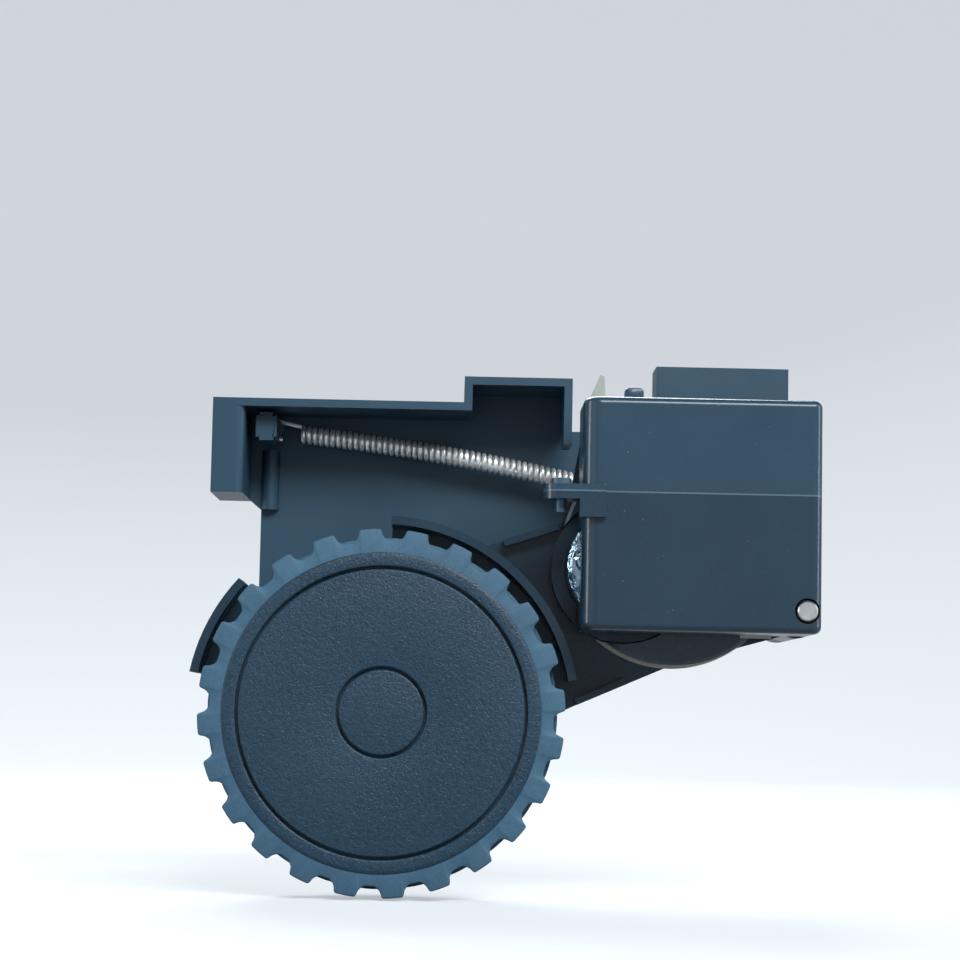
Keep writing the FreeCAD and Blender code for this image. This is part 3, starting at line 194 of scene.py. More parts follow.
FINISHES = {
    "bracket_plastic": Finish("bracket_plastic", (0.026, 0.069, 0.11), (0.022, 0.061, 0.098), 0.4,
                              Pattern.GRAIN, grain_mm=0.22, bump=0.06, mottle_mm=18.0, dust=0.2, specular=0.4),
    "arm_plastic": Finish("arm_plastic", (0.018, 0.046, 0.073), (0.013, 0.035, 0.057), 0.28,
                          Pattern.GRAIN, grain_mm=0.22, bump=0.04, mottle_mm=16.0, dust=0.2, coat=0.1,
                          specular=0.3),
    "cover_plastic": Finish("cover_plastic", (0.022, 0.06, 0.096), (0.019, 0.053, 0.085), 0.26,
                            Pattern.GRAIN, grain_mm=0.3, bump=0.02, mottle_mm=22.0, dust=0.6, coat=0.15,
                            specular=0.4, bands=(SEAM_HIGHLIGHT,)),
    # painted shade: a darker copy of the cover plastic for the lower box half, whose face catches less light
    "cover_low": Finish("cover_low", (0.0152, 0.041, 0.068), (0.0125, 0.036, 0.06), 0.27,
                        Pattern.GRAIN, grain_mm=0.3, bump=0.02, mottle_mm=22.0, dust=0.6, coat=0.15, specular=0.4),
    "drum_plastic": Finish("drum_plastic", (0.026, 0.055, 0.085), (0.021, 0.047, 0.074), 0.26,
                           Pattern.GRAIN, grain_mm=0.3, bump=0.03, mottle_mm=16.0, dust=0.2, coat=0.15,
                           specular=0.4),
    "hub_plastic": Finish("hub_plastic", (0.016, 0.026, 0.034), (0.01, 0.018, 0.024), 0.45,
                          Pattern.GRAIN, grain_mm=0.3, bump=0.06),
    "cap_plastic": Finish("cap_plastic", (0.0125, 0.042, 0.075), (0.0095, 0.036, 0.066), 0.42,
                          Pattern.WRINKLE, grain_mm=0.62, bump=0.65, mottle_mm=20.0, dust=0.15,
                          specular=0.4, contrast=0.36),
    "tyre_rubber": Finish("tyre_rubber", (0.064, 0.146, 0.228), (0.05, 0.12, 0.188), 0.6,
                          Pattern.GRAIN, grain_mm=0.5, bump=0.1, mottle_mm=7.0, dust=0.1, specular=0.3),
    "gear_nylon": Finish("gear_nylon", (0.78, 0.77, 0.7), (0.7, 0.69, 0.62), 0.45, bump=0.04),
    "socket_nylon": Finish("socket_nylon", (0.03, 0.032, 0.035), (0.02, 0.022, 0.025), 0.5,
                           Pattern.GRAIN, grain_mm=0.2, bump=0.05),
    "circuit_board": Finish("circuit_board", (0.01, 0.09, 0.03), (0.008, 0.07, 0.024), 0.3, bump=0.03, coat=0.4),
    "gasket_sheet": Finish("gasket_sheet", (0.44, 0.46, 0.42), (0.34, 0.36, 0.33), 0.9,
                           Pattern.FIBRE, grain_mm=0.5, bump=0.35, bands=(SHADED_SHEET_MIDDLE, LIT_SHEET_EDGE)),
    "spring_steel": Finish("spring_steel", (0.98, 0.99, 0.98), (0.9, 0.91, 0.91), 0.36,
                           Pattern.BRUSHED, metallic=0.7, grain_mm=0.25, bump=0.02, mottle_mm=9.0, contrast=0.04),
    "pin_steel": Finish("pin_steel", (0.6, 0.61, 0.61), (0.52, 0.53, 0.53), 0.32,
                        Pattern.BRUSHED, metallic=1.0, grain_mm=0.3, bump=0.04, mottle_mm=4.0),
    "lug_steel": Finish("lug_steel", (0.07, 0.125, 0.175), (0.055, 0.1, 0.14), 0.4, metallic=0.35, bump=0.04,
                        mottle_mm=3.0),
    "screw_steel": Finish("screw_steel", (0.3, 0.36, 0.4), (0.22, 0.27, 0.31), 0.42, metallic=1.0, bump=0.05,
                          mottle_mm=3.0),
    "motor_steel": Finish("motor_steel", (0.34, 0.46, 0.54), (0.24, 0.34, 0.42), 0.2,
                          Pattern.CRINKLE, metallic=1.0, grain_mm=3.4, bump=0.4, mottle_mm=6.0),
    "bearing_steel": Finish("bearing_steel", (0.6, 0.6, 0.62), (0.5, 0.5, 0.52), 0.25, metallic=1.0, bump=0.03),
    "bush_bronze": Finish("bush_bronze", (0.5, 0.3, 0.12), (0.4, 0.23, 0.09), 0.45,
                          Pattern.GRAIN, metallic=1.0, grain_mm=0.2, bump=0.15),
    "pinion_brass": Finish("pinion_brass", (0.7, 0.5, 0.2), (0.6, 0.42, 0.16), 0.28, metallic=1.0, bump=0.03),
    "contact_metal": Finish("contact_metal", (0.75, 0.6, 0.3), (0.65, 0.5, 0.24), 0.25, metallic=1.0, bump=0.03),
    "magnet": Finish("magnet", (0.1, 0.1, 0.105), (0.07, 0.07, 0.075), 0.5,
                     Pattern.GRAIN, metallic=0.6, grain_mm=0.25, bump=0.2),
}


class TreeWriter:
    """Writes nodes into a tree and links them."""

    def __init__(self, tree: bpy.types.NodeTree) -> None:
        """Keeps the tree to write into."""
        self.tree = tree

    def add(self, kind: str, inputs: dict | None = None, **settings: str) -> bpy.types.Node:
        """Adds a node.

        Args:
            kind: The node's type name.
            inputs: Socket name or index, to a value or to the socket that feeds it.
            settings: The node's own properties.

        Returns:
            The node.
        """
        node = self.tree.nodes.new(kind)
        for key, value in settings.items():
            setattr(node, key, value)
        for key, value in (inputs or {}).items():
            if isinstance(value, bpy.types.NodeSocket):
                self.tree.links.new(value, node.inputs[key])
            else:
                node.inputs[key].default_value = value
        return node

    def ranged(self, value: Socket, ends: Point, becomes: Point = (0.0, 1.0)) -> Socket:
        """Maps a value and keeps it between two ends.

        Args:
            value: The value's socket.
            ends: The values at its two ends.
            becomes: What the two ends turn into.

        Returns:
            The mapped value's socket.
        """
        return self.add("ShaderNodeMapRange", {"Value": value, "From Min": ends[0], "From Max": ends[1],
                                               "To Min": becomes[0], "To Max": becomes[1]}).outputs[0]

    def reckoned(self, operation: str, *values: Socket | float) -> Socket:
        """Does a sum.

        Args:
            operation: The Math node's operation.
            values: What it works on, in order.

        Returns:
            The result's socket.
        """
        return self.add("ShaderNodeMath", dict(enumerate(values)), operation=operation).outputs[0]

    def mixed(self, share: Socket, under: Socket | Triple, over: Triple) -> Socket:
        """Lays a colour over another.

        Args:
            share: How much of it covers.
            under: The colour that is covered.
            over: The colour that covers.

        Returns:
            The mixed colour's socket.
        """
        base = (*under, 1) if isinstance(under, tuple) else under
        return self.add("ShaderNodeMix", {0: share, 6: base, 7: (*over, 1)}, data_type="RGBA").outputs[2]


class Paint:
    """Makes each finish's procedural material once."""

    def __init__(self, finishes: dict[str, Finish]) -> None:
        """Starts with no material made.

        Args:
            finishes: Each finish under its slot's name.
        """
        self.finishes = finishes
        self.made = {}
        self.variation = Variation()
        self.dust = Dust()

    def __call__(self, slot: str) -> bpy.types.Material:
        """Gives a slot's material.

        Args:
            slot: A key of the finishes.

        Returns:
            Its material, made at the first call.
        """
        if slot not in self.made:
            self.made[slot] = self.build(self.finishes[slot])
        return self.made[slot]

    def build(self, finish: Finish) -> bpy.types.Material:
        """Makes a finish's material.

        Args:
            finish: What it looks like.

        Returns:
            A new material.
        """
        v = self.variation
        material = bpy.data.materials.new("finish_" + finish.name)
        material.use_nodes = True
        material.node_tree.nodes.clear()
        w = TreeWriter(material.node_tree)
        place = w.add("ShaderNodeTexCoord").outputs["Object"]
        mottle = w.add("ShaderNodeTexNoise", {"Vector": place, "Scale": 1 / (finish.mottle_mm * MM),
                                              "Detail": v.mottle_detail,
                                              "Roughness": v.mottle_roughness}).outputs["Fac"]
        colour = w.mixed(w.ranged(mottle, v.wide), finish.shade, finish.colour)
        height = self.relief(w, finish, place)
        fine = w.ranged(height, v.narrow, (1 - finish.contrast, 1 + finish.contrast))
        colour = w.add("ShaderNodeVectorMath", {0: colour, "Scale": fine}, operation="SCALE").outputs[0]
        for band in finish.bands:
            colour = self.banded(w, band, place, colour)
        rough = w.ranged(mottle, v.narrow, (finish.roughness * (1 - v.roughness),
                                            finish.roughness * (1 + v.roughness)))
        if finish.dust:
            colour, rough = self.dusted(w, finish, place, colour, rough)
        bump = w.add("ShaderNodeBump", {"Height": height, "Strength": finish.bump,
                                        "Distance": finish.grain_mm * MM * v.bump_reach})
        shader = w.add("ShaderNodeBsdfPrincipled", {"Base Color": colour, "Roughness": rough,
                                                    "Normal": bump.outputs["Normal"],
                                                    "Metallic": finish.metallic, "Coat Weight": finish.coat,
                                                    "Coat Roughness": v.coat_roughness,
                                                    "Specular IOR Level": finish.specular})
        w.add("ShaderNodeOutputMaterial", {"Surface": shader.outputs[0]})
        return material

    @staticmethod
    def relief(w: TreeWriter, finish: Finish, place: Socket) -> Socket:
        """Makes the fine heights of a finish.

        Args:
            w: The writer of its tree.
            finish: What it looks like.
            place: The coordinates.

        Returns:
            The height's socket.
        """
        noise = NOISES[finish.pattern]
        if noise.stretch != (1.0, 1.0, 1.0):
            place = w.add("ShaderNodeMapping", {"Vector": place, "Rotation": noise.turn,
                                                "Scale": noise.stretch}).outputs[0]
        return w.add("ShaderNodeTexNoise", {"Vector": place, "Scale": 1 / (finish.grain_mm * MM),
                                            "Detail": noise.detail, "Roughness": noise.roughness,
                                            "Distortion": noise.distortion}).outputs["Fac"]

    @staticmethod
    def banded(w: TreeWriter, band: Band, place: Socket, colour: Socket) -> Socket:
        """Lays a band over a colour.

        Args:
            w: The writer of the tree.
            band: The strip.
            place: The coordinates.
            colour: The colour that it covers.

        Returns:
            The new colour's socket.
        """
        height = w.add("ShaderNodeSeparateXYZ", {"Vector": place}).outputs["Z"]
        above = w.ranged(height, (band.low * MM, (band.low + band.fade) * MM))
        below = w.ranged(height, (band.high * MM, (band.high - band.fade) * MM))
        return w.mixed(w.reckoned("MULTIPLY", above, below), colour, band.colour)

    def dusted(self, w: TreeWriter, finish: Finish, place: Socket, colour: Socket,
               rough: Socket) -> tuple[Socket, Socket]:
        """Adds sparse pale specks.

        Args:
            w: The writer of the tree.
            finish: What says how strong they are.
            place: The coordinates.
            colour: The colour under them.
            rough: The roughness under them.

        Returns:
            The colour's and the roughness's new sockets.
        """
        d = self.dust
        cells = w.add("ShaderNodeTexVoronoi", {"Vector": place, "Scale": 1 / (d.cell * MM), "Randomness": 1.0})
        speck = w.ranged(cells.outputs["Distance"], (d.core, d.edge), (finish.dust, 0.0))
        patch = w.add("ShaderNodeTexNoise", {"Vector": place, "Scale": 1 / (d.patch * MM),
                                             "Detail": d.patch_detail}).outputs["Fac"]
        amount = w.reckoned("MULTIPLY", speck, w.ranged(patch, d.patch_ends))
        return w.mixed(amount, colour, d.colour), w.reckoned("MULTIPLY_ADD", amount, d.rougher, rough)


class Maker:
    """Turns bmesh work into pieces that ride on bodies."""

    def __init__(self, paint: Paint) -> None:
        """Keeps the paint that gives materials."""
        self.paint = paint

    @staticmethod
    def raw(name: str, bm: bmesh.types.BMesh) -> bpy.types.Object:
        """Makes a bmesh an object.

        Args:
            name: The object's name.
            bm: Its form in millimetres, freed here.

        Returns:
            The object, in metres, in the scene.
        """
        bmesh.ops.scale(bm, vec=(MM,) * 3, verts=bm.verts)
        bmesh.ops.recalc_face_normals(bm, faces=bm.faces)
        mesh = bpy.data.meshes.new(name)
        bm.to_mesh(mesh)
        bm.free()
        piece = bpy.data.objects.new(name, mesh)
        bpy.context.scene.collection.objects.link(piece)
        return piece

    @staticmethod
    def bake(piece: bpy.types.Object) -> bpy.types.Object:
        """Applies a piece's modifiers.

        Args:
            piece: The piece.

        Returns:
            The same piece, with its final mesh and no modifier.
        """
        graph = bpy.context.evaluated_depsgraph_get()
        graph.update()
        piece.data = bpy.data.meshes.new_from_object(piece.evaluated_get(graph))
        piece.modifiers.clear()
        return piece

    def finished(self, piece: bpy.types.Object, slot: str, body: Body | None, replaced: tuple[str, ...] = (),
                 sharp: float = 35.0) -> bpy.types.Object:
        """Shades, paints and mounts a piece.

        Args:
            piece: The piece.
            slot: Its material slot.
            body: The body that it rides on, or None for one that rides on none.
            replaced: The CAD nodes that it stands for.
            sharp: The angle in degrees above which an edge stays sharp.

        Returns:
            The same piece.
        """
        mesh = piece.data
        mesh.polygons.foreach_set("use_smooth", [True] * len(mesh.polygons))
        mesh.set_sharp_from_angle(angle=math.radians(sharp))
        mesh.materials.clear()
        mesh.materials.append(self.paint(slot))
        if body is not None:
            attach(piece, body.value)
        if replaced:
            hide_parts(*replaced)
        LOG.info("%s: %d faces", piece.name, len(mesh.polygons))
        return piece


def ring_point(centre: Point, radius: float, angle: float, y: float) -> Vector:
    """Places a point on a circle about a line along Y.

    Args:
        centre: The circle's (x, z).
        radius: Its radius.
        angle: The point's angle, from +X to +Z.
        y: Its depth.

    Returns:
        The point.
    """
    return Vector((centre[0] + radius * math.cos(angle), y, centre[1] + radius * math.sin(angle)))


def lathe(bm: bmesh.types.BMesh, centre: Point, profile: list[Point], steps: int) -> None:
    """Turns a profile about a line along Y.

    Args:
        bm: What it is added to.
        centre: The line's (x, z).
        profile: (radius, y) points, closed where it meets radius 0.
        steps: How many sides it gets.
    """
    rows = []
    for radius, y in profile:
        if radius:
            rows.append([bm.verts.new(ring_point(centre, radius, TAU * i / steps, y)) for i in range(steps)])
        else:
            rows.append([bm.verts.new((centre[0], y, centre[1]))] * steps)
    for low, high in zip(rows, rows[1:]):
        for i in range(steps):
            corners = [low[i], low[(i + 1) % steps], high[(i + 1) % steps], high[i]]
            unique = list(dict.fromkeys(corners))
            if len(unique) > 2:
                bm.faces.new(unique)


def rounded(points: Sequence[Point], radius: float, steps: int, closed: bool = True) -> list[Vector]:
    """Rounds an outline's corners.

    Args:
        points: Its 2-D points.
        radius: How far from a corner its arc may begin.
        steps: How many sides an arc gets.
        closed: Whether the ends join.

    Returns:
        The new points.
    """
    out = []
    count = len(points)
    for i, here in enumerate(points):
        here = Vector(here)
        if not closed and i in (0, count - 1):
            out.append(here)
            continue
        back = Vector(points[i - 1]) - here
        ahead = Vector(points[(i + 1) % count]) - here
        reach = min(radius, back.length * LONGEST_ARC, ahead.length * LONGEST_ARC)
        start, stop = here + back.normalized() * reach, here + ahead.normalized() * reach
        for k in range(steps + 1):
            t = k / steps
            out.append(start * (1 - t) ** 2 + here * 2 * t * (1 - t) + stop * t ** 2)
    return out


def slab(bm: bmesh.types.BMesh, outline: Sequence[Vector], depths: Point, edge: float) -> None:
    """Makes a plate with softened edges.

    Args:
        bm: What it is added to.
        outline: Its (x, z) points.
        depths: Its back and front.
        edge: The width of its bevels.
    """
    back, front = ([bm.verts.new((x, y, z)) for x, z in outline] for y in depths)
    count = len(outline)
    faces = [bm.faces.new(back), bm.faces.new(front[::-1])]
    for i in range(count):
        bm.faces.new((back[i], back[(i + 1) % count], front[(i + 1) % count], front[i]))
    rims = [e for f in faces for e in f.edges]
    bmesh.ops.bevel(bm, geom=rims, offset=edge, segments=2, profile=0.5, affect="EDGES")


def tube(bm: bmesh.types.BMesh, path: list[Vector], radius: float, sides: int) -> None:
    """Sweeps a round wire along a path, with closed ends.

    Args:
        bm: What it is added to.
        path: The wire's middle.
        radius: Its radius.
        sides: How many sides it gets.
    """
    count = len(path)
    normal = None
    rows = []
    for i, here in enumerate(path):
        ahead = path[min(i + 1, count - 1)] - path[max(i - 1, 0)]
        ahead.normalize()
        if normal is None:
            normal = ahead.orthogonal().normalized()
        normal = (normal - ahead * normal.dot(ahead)).normalized()
        side = ahead.cross(normal)
        rows.append([bm.verts.new(here + (normal * math.cos(TAU * k / sides) + side * math.sin(TAU * k / sides))
                                  * radius) for k in range(sides)])
    for low, high in zip(rows, rows[1:]):
        for k in range(sides):
            bm.faces.new((low[k], low[(k + 1) % sides], high[(k + 1) % sides], high[k]))
    bm.faces.new(rows[0][::-1])
    bm.faces.new(rows[-1])


@dataclass(frozen=True)
class SoftEdges:
    """How a CAD node's edges are rounded: its angles are in degrees."""

    flat: float = 0.6
    bevelled: float = 32.0
    smooth: float = 38.0
    segments: int = 2


class Repeats:
    """The Geometry Nodes trees that repeat a master mesh and shade a CAD node."""

    def __init__(self) -> None:
        """Makes both trees."""
        self.around = self.around_tree()
        self.soft = self.soft_tree()
        self.edges = SoftEdges()

    @staticmethod
    def sockets(tree: bpy.types.NodeTree, specs: list[tuple]) -> dict[str, str]:
        """Gives a tree its inputs and its output.

        Args:
            tree: The tree.
            specs: Each input's name, socket type and default.

        Returns:
            The inputs' names, each with its identifier.
        """
        names = {}
        for name, kind, default in specs:
            item = tree.interface.new_socket(name=name, in_out="INPUT", socket_type=kind)
            if default is not None:
                item.default_value = default
            names[name] = item.identifier
        tree.interface.new_socket(name="Geometry", in_out="OUTPUT", socket_type="NodeSocketGeometry")
        return names

    def around_tree(self) -> Tree:
        """Makes the tree that turns copies of a master about Y.

        Returns:
            The tree, and its inputs' identifiers.
        """
        tree = bpy.data.node_groups.new("CopiesAround", "GeometryNodeTree")
        names = self.sockets(tree, [("Geometry", "NodeSocketGeometry", None), ("Count", "NodeSocketInt", 24),
                                    ("Material", "NodeSocketMaterial", None)])
        w = TreeWriter(tree)
        given = w.add("NodeGroupInput").outputs
        line = w.add("GeometryNodeMeshLine", {"Count": given["Count"], "Offset": (0, 0, 0)})
        index = w.add("GeometryNodeInputIndex").outputs[0]
        turn = w.reckoned("MULTIPLY", index, w.reckoned("DIVIDE", TAU, given["Count"]))
        turned = w.add("ShaderNodeCombineXYZ", {"Y": turn}).outputs[0]
        copies = w.add("GeometryNodeInstanceOnPoints", {"Points": line.outputs[0], "Instance": given["Geometry"],
                                                        "Rotation": turned}).outputs[0]
        real = w.add("GeometryNodeRealizeInstances", {"Geometry": copies}).outputs[0]
        whole = w.add("GeometryNodeMergeByDistance", {"Geometry": real, "Distance": 0.01 * MM}).outputs[0]
        painted = w.add("GeometryNodeSetMaterial", {"Geometry": whole, "Material": given["Material"]}).outputs[0]
        w.add("NodeGroupOutput", {0: painted})
        return tree, names

    def soft_tree(self) -> Tree:
        """Makes the tree that shades smooth except at edges over an angle.

        Returns:
            The tree, and its inputs' identifiers.
        """
        tree = bpy.data.node_groups.new("SmoothUnderAngle", "GeometryNodeTree")
        names = self.sockets(tree, [("Geometry", "NodeSocketGeometry", None), ("Angle", "NodeSocketFloat", 0.6)])
        w = TreeWriter(tree)
        given = w.add("NodeGroupInput").outputs
        faces = w.add("GeometryNodeSetShadeSmooth", {0: given["Geometry"], "Shade Smooth": True}, domain="FACE")
        angle = w.add("GeometryNodeInputMeshEdgeAngle").outputs["Unsigned Angle"]
        smooth = w.add("FunctionNodeCompare", {0: angle, 1: given["Angle"]}, operation="LESS_THAN").outputs[0]
        edges = w.add("GeometryNodeSetShadeSmooth", {0: faces.outputs[0], "Shade Smooth": smooth}, domain="EDGE")
        w.add("NodeGroupOutput", {0: edges.outputs[0]})
        return tree, names

    def turn_copies(self, piece: bpy.types.Object, count: int, material: bpy.types.Material,
                    maker: Maker) -> bpy.types.Object:
        """Repeats a master about Y and applies the result.

        Args:
            piece: The master.
            count: How many copies fill the turn.
            material: What they are painted with.
            maker: What applies the modifier.

        Returns:
            The same piece, with all copies.
        """
        tree, names = self.around
        modifier = piece.modifiers.new("copies", "NODES")
        modifier.node_group = tree
        modifier[names["Count"]] = count
        modifier[names["Material"]] = material
        return maker.bake(piece)

    def soften(self, node: bpy.types.Object, width_mm: float) -> None:
        """Rounds a CAD node's edges by modifiers only.

        Args:
            node: The node's object.
            width_mm: The width of its bevels.
        """
        flat = node.modifiers.new("join_flats", "DECIMATE")
        flat.decimate_type = "DISSOLVE"
        flat.angle_limit = math.radians(self.edges.flat)
        bevel = node.modifiers.new("soft_edges", "BEVEL")
        bevel.width = width_mm * MM
        bevel.segments = self.edges.segments
        bevel.limit_method = "ANGLE"
        bevel.angle_limit = math.radians(self.edges.bevelled)
        tree, names = self.soft
        smooth = node.modifiers.new("smooth", "NODES")
        smooth.node_group = tree
        smooth[names["Angle"]] = math.radians(self.edges.smooth)


@dataclass
class WheelSizes:
    """The wheel, in millimetres and degrees, with shares of a block's step and of its height."""

    centre: Point = (-27.0, -38.0)
    radius: float = 34.7
    floor: float = 32.5
    back_drop: float = 1.2
    phase: float = 4.85
    seat: float = 29.3
    back: float = -28.35
    front: float = -44.35
    blocks: int = 24
    top_share: float = 0.44
    foot_share: float = 0.74
    shoulder_share: float = 0.54
    shoulder_fall: float = 0.62
    crown: float = 0.02
    corner: float = 0.42
    corner_steps: int = 3
    back_edge: float = 0.2
    front_edge: float = 0.35
    edge_middle: float = 0.3
    cap_radius: float = 30.4
    cap_back: float = -41.95
    cap_front: float = -44.65
    cap_rim: tuple[Point, ...] = ((0.0, 0.65), (0.12, 0.32), (0.45, 0.1), (0.9, 0.0))
    cap_sides: int = 160
    ring: float = 27.3
    eye: float = 8.3
    groove: float = 0.5
    groove_depth: float = 1.4
    lip: float = 0.4
    lip_steps: int = 5


class Wheel:
    """The tyre's tread and the grained cap."""

    def __init__(self, maker: Maker, repeats: Repeats, sizes: WheelSizes | None = None) -> None:
        """Keeps what the wheel is made with.

        Args:
            maker: What makes pieces.
            repeats: What turns copies of a block about the axis.
            sizes: The wheel's sizes, or None for the real ones.
        """
        self.maker = maker
        self.repeats = repeats
        self.s = sizes or WheelSizes()

    def build(self) -> None:
        """Makes both."""
        self.tyre()
        self.cap()

    def sector(self, drop: float) -> list[Point]:
        """Draws one block, from gap to gap.

        Args:
            drop: How much lower its row stands.

        Returns:
            Its (radius, angle) points.
        """
        s = self.s
        half = TAU / s.blocks / 2
        top, floor = s.radius - drop, s.floor - drop
        shoulder = top - (top - floor) * s.shoulder_fall
        side = [(half, floor), (half * s.foot_share, floor), (half * s.shoulder_share, shoulder),
                (half * s.top_share, top)]
        corners = [(-angle, radius) for angle, radius in side] + [(0, top + s.crown)] + side[::-1]
        flat = [(angle * top, radius) for angle, radius in corners]
        return [(radius, arc / top) for arc, radius in rounded(flat, s.corner, s.corner_steps, closed=False)]

    def row(self, name: str, depths: Point, turn: float, drop: float) -> bpy.types.Object:
        """Makes a ring of blocks about the Y axis.

        Args:
            name: The piece's name.
            depths: Its back and front.
            turn: How far it is turned, in radians.
            drop: How much lower it stands.

        Returns:
            The piece.
        """
        s = self.s
        outline = self.sector(drop)
        back, front = s.back_edge, s.front_edge
        levels = [(depths[0], None), (depths[0], back), (depths[0] - back * s.edge_middle, back * s.edge_middle),
                  (depths[0] - back, 0.0), (depths[1] + front, 0.0),
                  (depths[1] + front * s.edge_middle, front * s.edge_middle), (depths[1], front), (depths[1], None)]
        bm = bmesh.new()
        rows = []
        for y, inset in levels:
            rows.append([bm.verts.new(ring_point((0, 0), s.seat if inset is None else radius - inset,
                                                 angle + turn, y)) for radius, angle in outline])
        for low, high in zip(rows, rows[1:] + rows[:1]):
            for i in range(len(outline) - 1):
                bm.faces.new((low[i], low[i + 1], high[i + 1], high[i]))
        piece = self.maker.raw(name, bm)
        return self.repeats.turn_copies(piece, s.blocks, self.maker.paint("tyre_rubber"), self.maker)

    def tyre(self) -> None:
        """Makes two rows of blocks, the back row half a step round and a little lower."""
        s = self.s
        middle = (s.back + s.front) / 2
        phase = math.radians(s.phase)
        back = self.row("tyre_back_row", (s.back, middle), phase + TAU / s.blocks / 2, s.back_drop)
        front = self.row("tyre_front_row", (middle, s.front), phase, 0.0)
        for piece in (back, front):
            piece.data.transform(Matrix.Translation((s.centre[0] * MM, 0, s.centre[1] * MM)))
            self.maker.finished(piece, "tyre_rubber", Body.WHEEL, sharp=50)
        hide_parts("tyre")

    def cap(self) -> None:
        """Makes the grained cap with its two grooves."""
        s = self.s
        face, floor = s.cap_front, s.cap_front + s.groove_depth
        profile = [(0, s.cap_back), (s.cap_radius, s.cap_back)]
        profile += [(s.cap_radius - inset, face + behind) for inset, behind in s.cap_rim]
        for radius in (s.ring, s.eye):
            outer, inner = radius + s.groove / 2, radius - s.groove / 2
            turns = [math.pi / 2 * i / s.lip_steps for i in range(s.lip_steps + 1)]
            profile += [(outer + s.lip * (1 - math.sin(t)), face + s.lip * (1 - math.cos(t))) for t in turns]
            profile += [(outer, floor), (inner, floor)]
            profile += [(inner - s.lip * (1 - math.cos(t)), face + s.lip * (1 - math.sin(t))) for t in turns]
        profile.append((0, face))
        bm = bmesh.new()
        lathe(bm, s.centre, profile, s.cap_sides)
        piece = self.maker.raw("wheel_cap", bm)
        self.maker.finished(piece, "cap_plastic", Body.WHEEL, ("hub_cap",))


@dataclass
class SpringSizes:
    """The tension spring, in millimetres, with shares of a hook's reach and radius."""

    peg: Point = (-51.0, 18.9)
    far_peg: Point = (14.2, 9.3)
    start: Point = (-45.4, 18.1)
    stop: Point = (11.6, 9.2)
    bow: float = 0.9
    y: float = -11.0
    outer: float = 3.9
    wire: float = 0.9
    wire_sides: int = 8
    turns: int = 48
    turn_steps: int = 18
    hook_r: float = 1.95
    hook_steps: int = 12
    free_reach: float = 0.3
    free_drop: float = 0.95


class Spring:
    """A close-wound spring with a hook at each end."""

    def __init__(self, maker: Maker, sizes: SpringSizes | None = None) -> None:
        """Keeps the maker and the sizes."""
        self.maker = maker
        self.s = sizes or SpringSizes()

    def hook(self, peg: Point, reach: float) -> list[Vector]:
        """Bends a hook under and round a peg, from its free end to where the coil begins.

        Args:
            peg: The peg's (x, z).
            reach: How far the coil is from it, positive to the right.

        Returns:
            Its points.
        """
        s = self.s
        toward = math.copysign(1.0, reach)
        points = [Vector((peg[0] + reach * s.free_reach, s.y, peg[1] - s.hook_r * s.free_drop))]
        for i in range(s.hook_steps + 1):
            angle = math.pi * i / s.hook_steps
            points.append(Vector((peg[0] - toward * s.hook_r * math.sin(angle), s.y,
                                  peg[1] - s.hook_r * math.cos(angle))))
        return points

    def coil(self) -> list[Vector]:
        """Winds the turns, whose line bows up a little as in the photograph.

        Returns:
            Their points.
        """
        s = self.s
        length = math.hypot(s.stop[0] - s.start[0], s.stop[1] - s.start[1])
        slope = math.atan2(s.stop[1] - s.start[1], s.stop[0] - s.start[0])
        spin = Matrix.Rotation(-slope, 4, "Y")
        mean = (s.outer - s.wire) / 2
        steps = s.turns * s.turn_steps
        points = []
        for i in range(steps + 1):
            angle = math.pi / 2 + TAU * i / s.turn_steps
            rise = s.bow * math.sin(math.pi * i / steps)
            along = Vector((length * i / steps, mean * math.cos(angle), mean * math.sin(angle) + rise))
            points.append(spin @ along + Vector((s.start[0], s.y, s.start[1])))
        return points

    def build(self) -> None:
        """Makes the spring, which stretches from the bracket to the arm."""
        s = self.s
        left = self.hook(s.peg, s.start[0] - s.peg[0])
        right = self.hook(s.far_peg, s.stop[0] - s.far_peg[0])
        bm = bmesh.new()
        tube(bm, left + self.coil() + right[::-1], s.wire / 2, s.wire_sides)
        piece = self.maker.raw("coil_spring", bm)
        self.maker.finished(piece, "spring_steel", None, ("tension_spring",))
        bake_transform(piece)


@dataclass
class StubSizes:
    """Two small moulded forms, in millimetres: outlines seen from the front, backs and fronts, and bevels."""

    nub: tuple[Point, ...] = ((18.5, 22.0), (22.1, 22.0), (22.1, 25.4), (18.5, 25.4))
    nub_y: Point = (-35.1, -38.3)
    nub_edge: float = 0.3
    post: tuple[Point, ...] = ((-54.1, 15.7), (-49.9, 15.8), (-50.0, 21.4), (-54.1, 21.4))
    post_y: Point = (-12.3, -20.4)
    post_edge: float = 0.9
    corner: float = 0.7
    corner_steps: int = 4


class Stubs:
    """The nub behind the box's top edge and the post's thick end in front of the spring's hook."""

    def __init__(self, maker: Maker, sizes: StubSizes | None = None) -> None:
        """Keeps the maker and the sizes."""
        self.maker = maker
        self.s = sizes or StubSizes()

    def stub(self, name: str, outline: tuple[Point, ...], depths: Point, edge: float) -> bpy.types.Object:
        """Makes one form.

        Args:
            name: The piece's name.
            outline: Its (x, z) corners.
            depths: Its back and front.
            edge: The width of its bevels.

        Returns:
            The piece, not painted yet.
        """
        bm = bmesh.new()
        slab(bm, rounded(outline, self.s.corner, self.s.corner_steps), depths, edge)
        return self.maker.raw(name, bm)

    def build(self) -> None:
        """Makes both, over the lower CAD forms."""
        s = self.s
        nub = self.stub("box_nub", s.nub, s.nub_y, s.nub_edge)
        self.maker.finished(nub, "cover_plastic", Body.ARM)
        post = self.stub("peg_end", s.post, s.post_y, s.post_edge)
        self.maker.finished(post, "bracket_plastic", Body.FRAME)


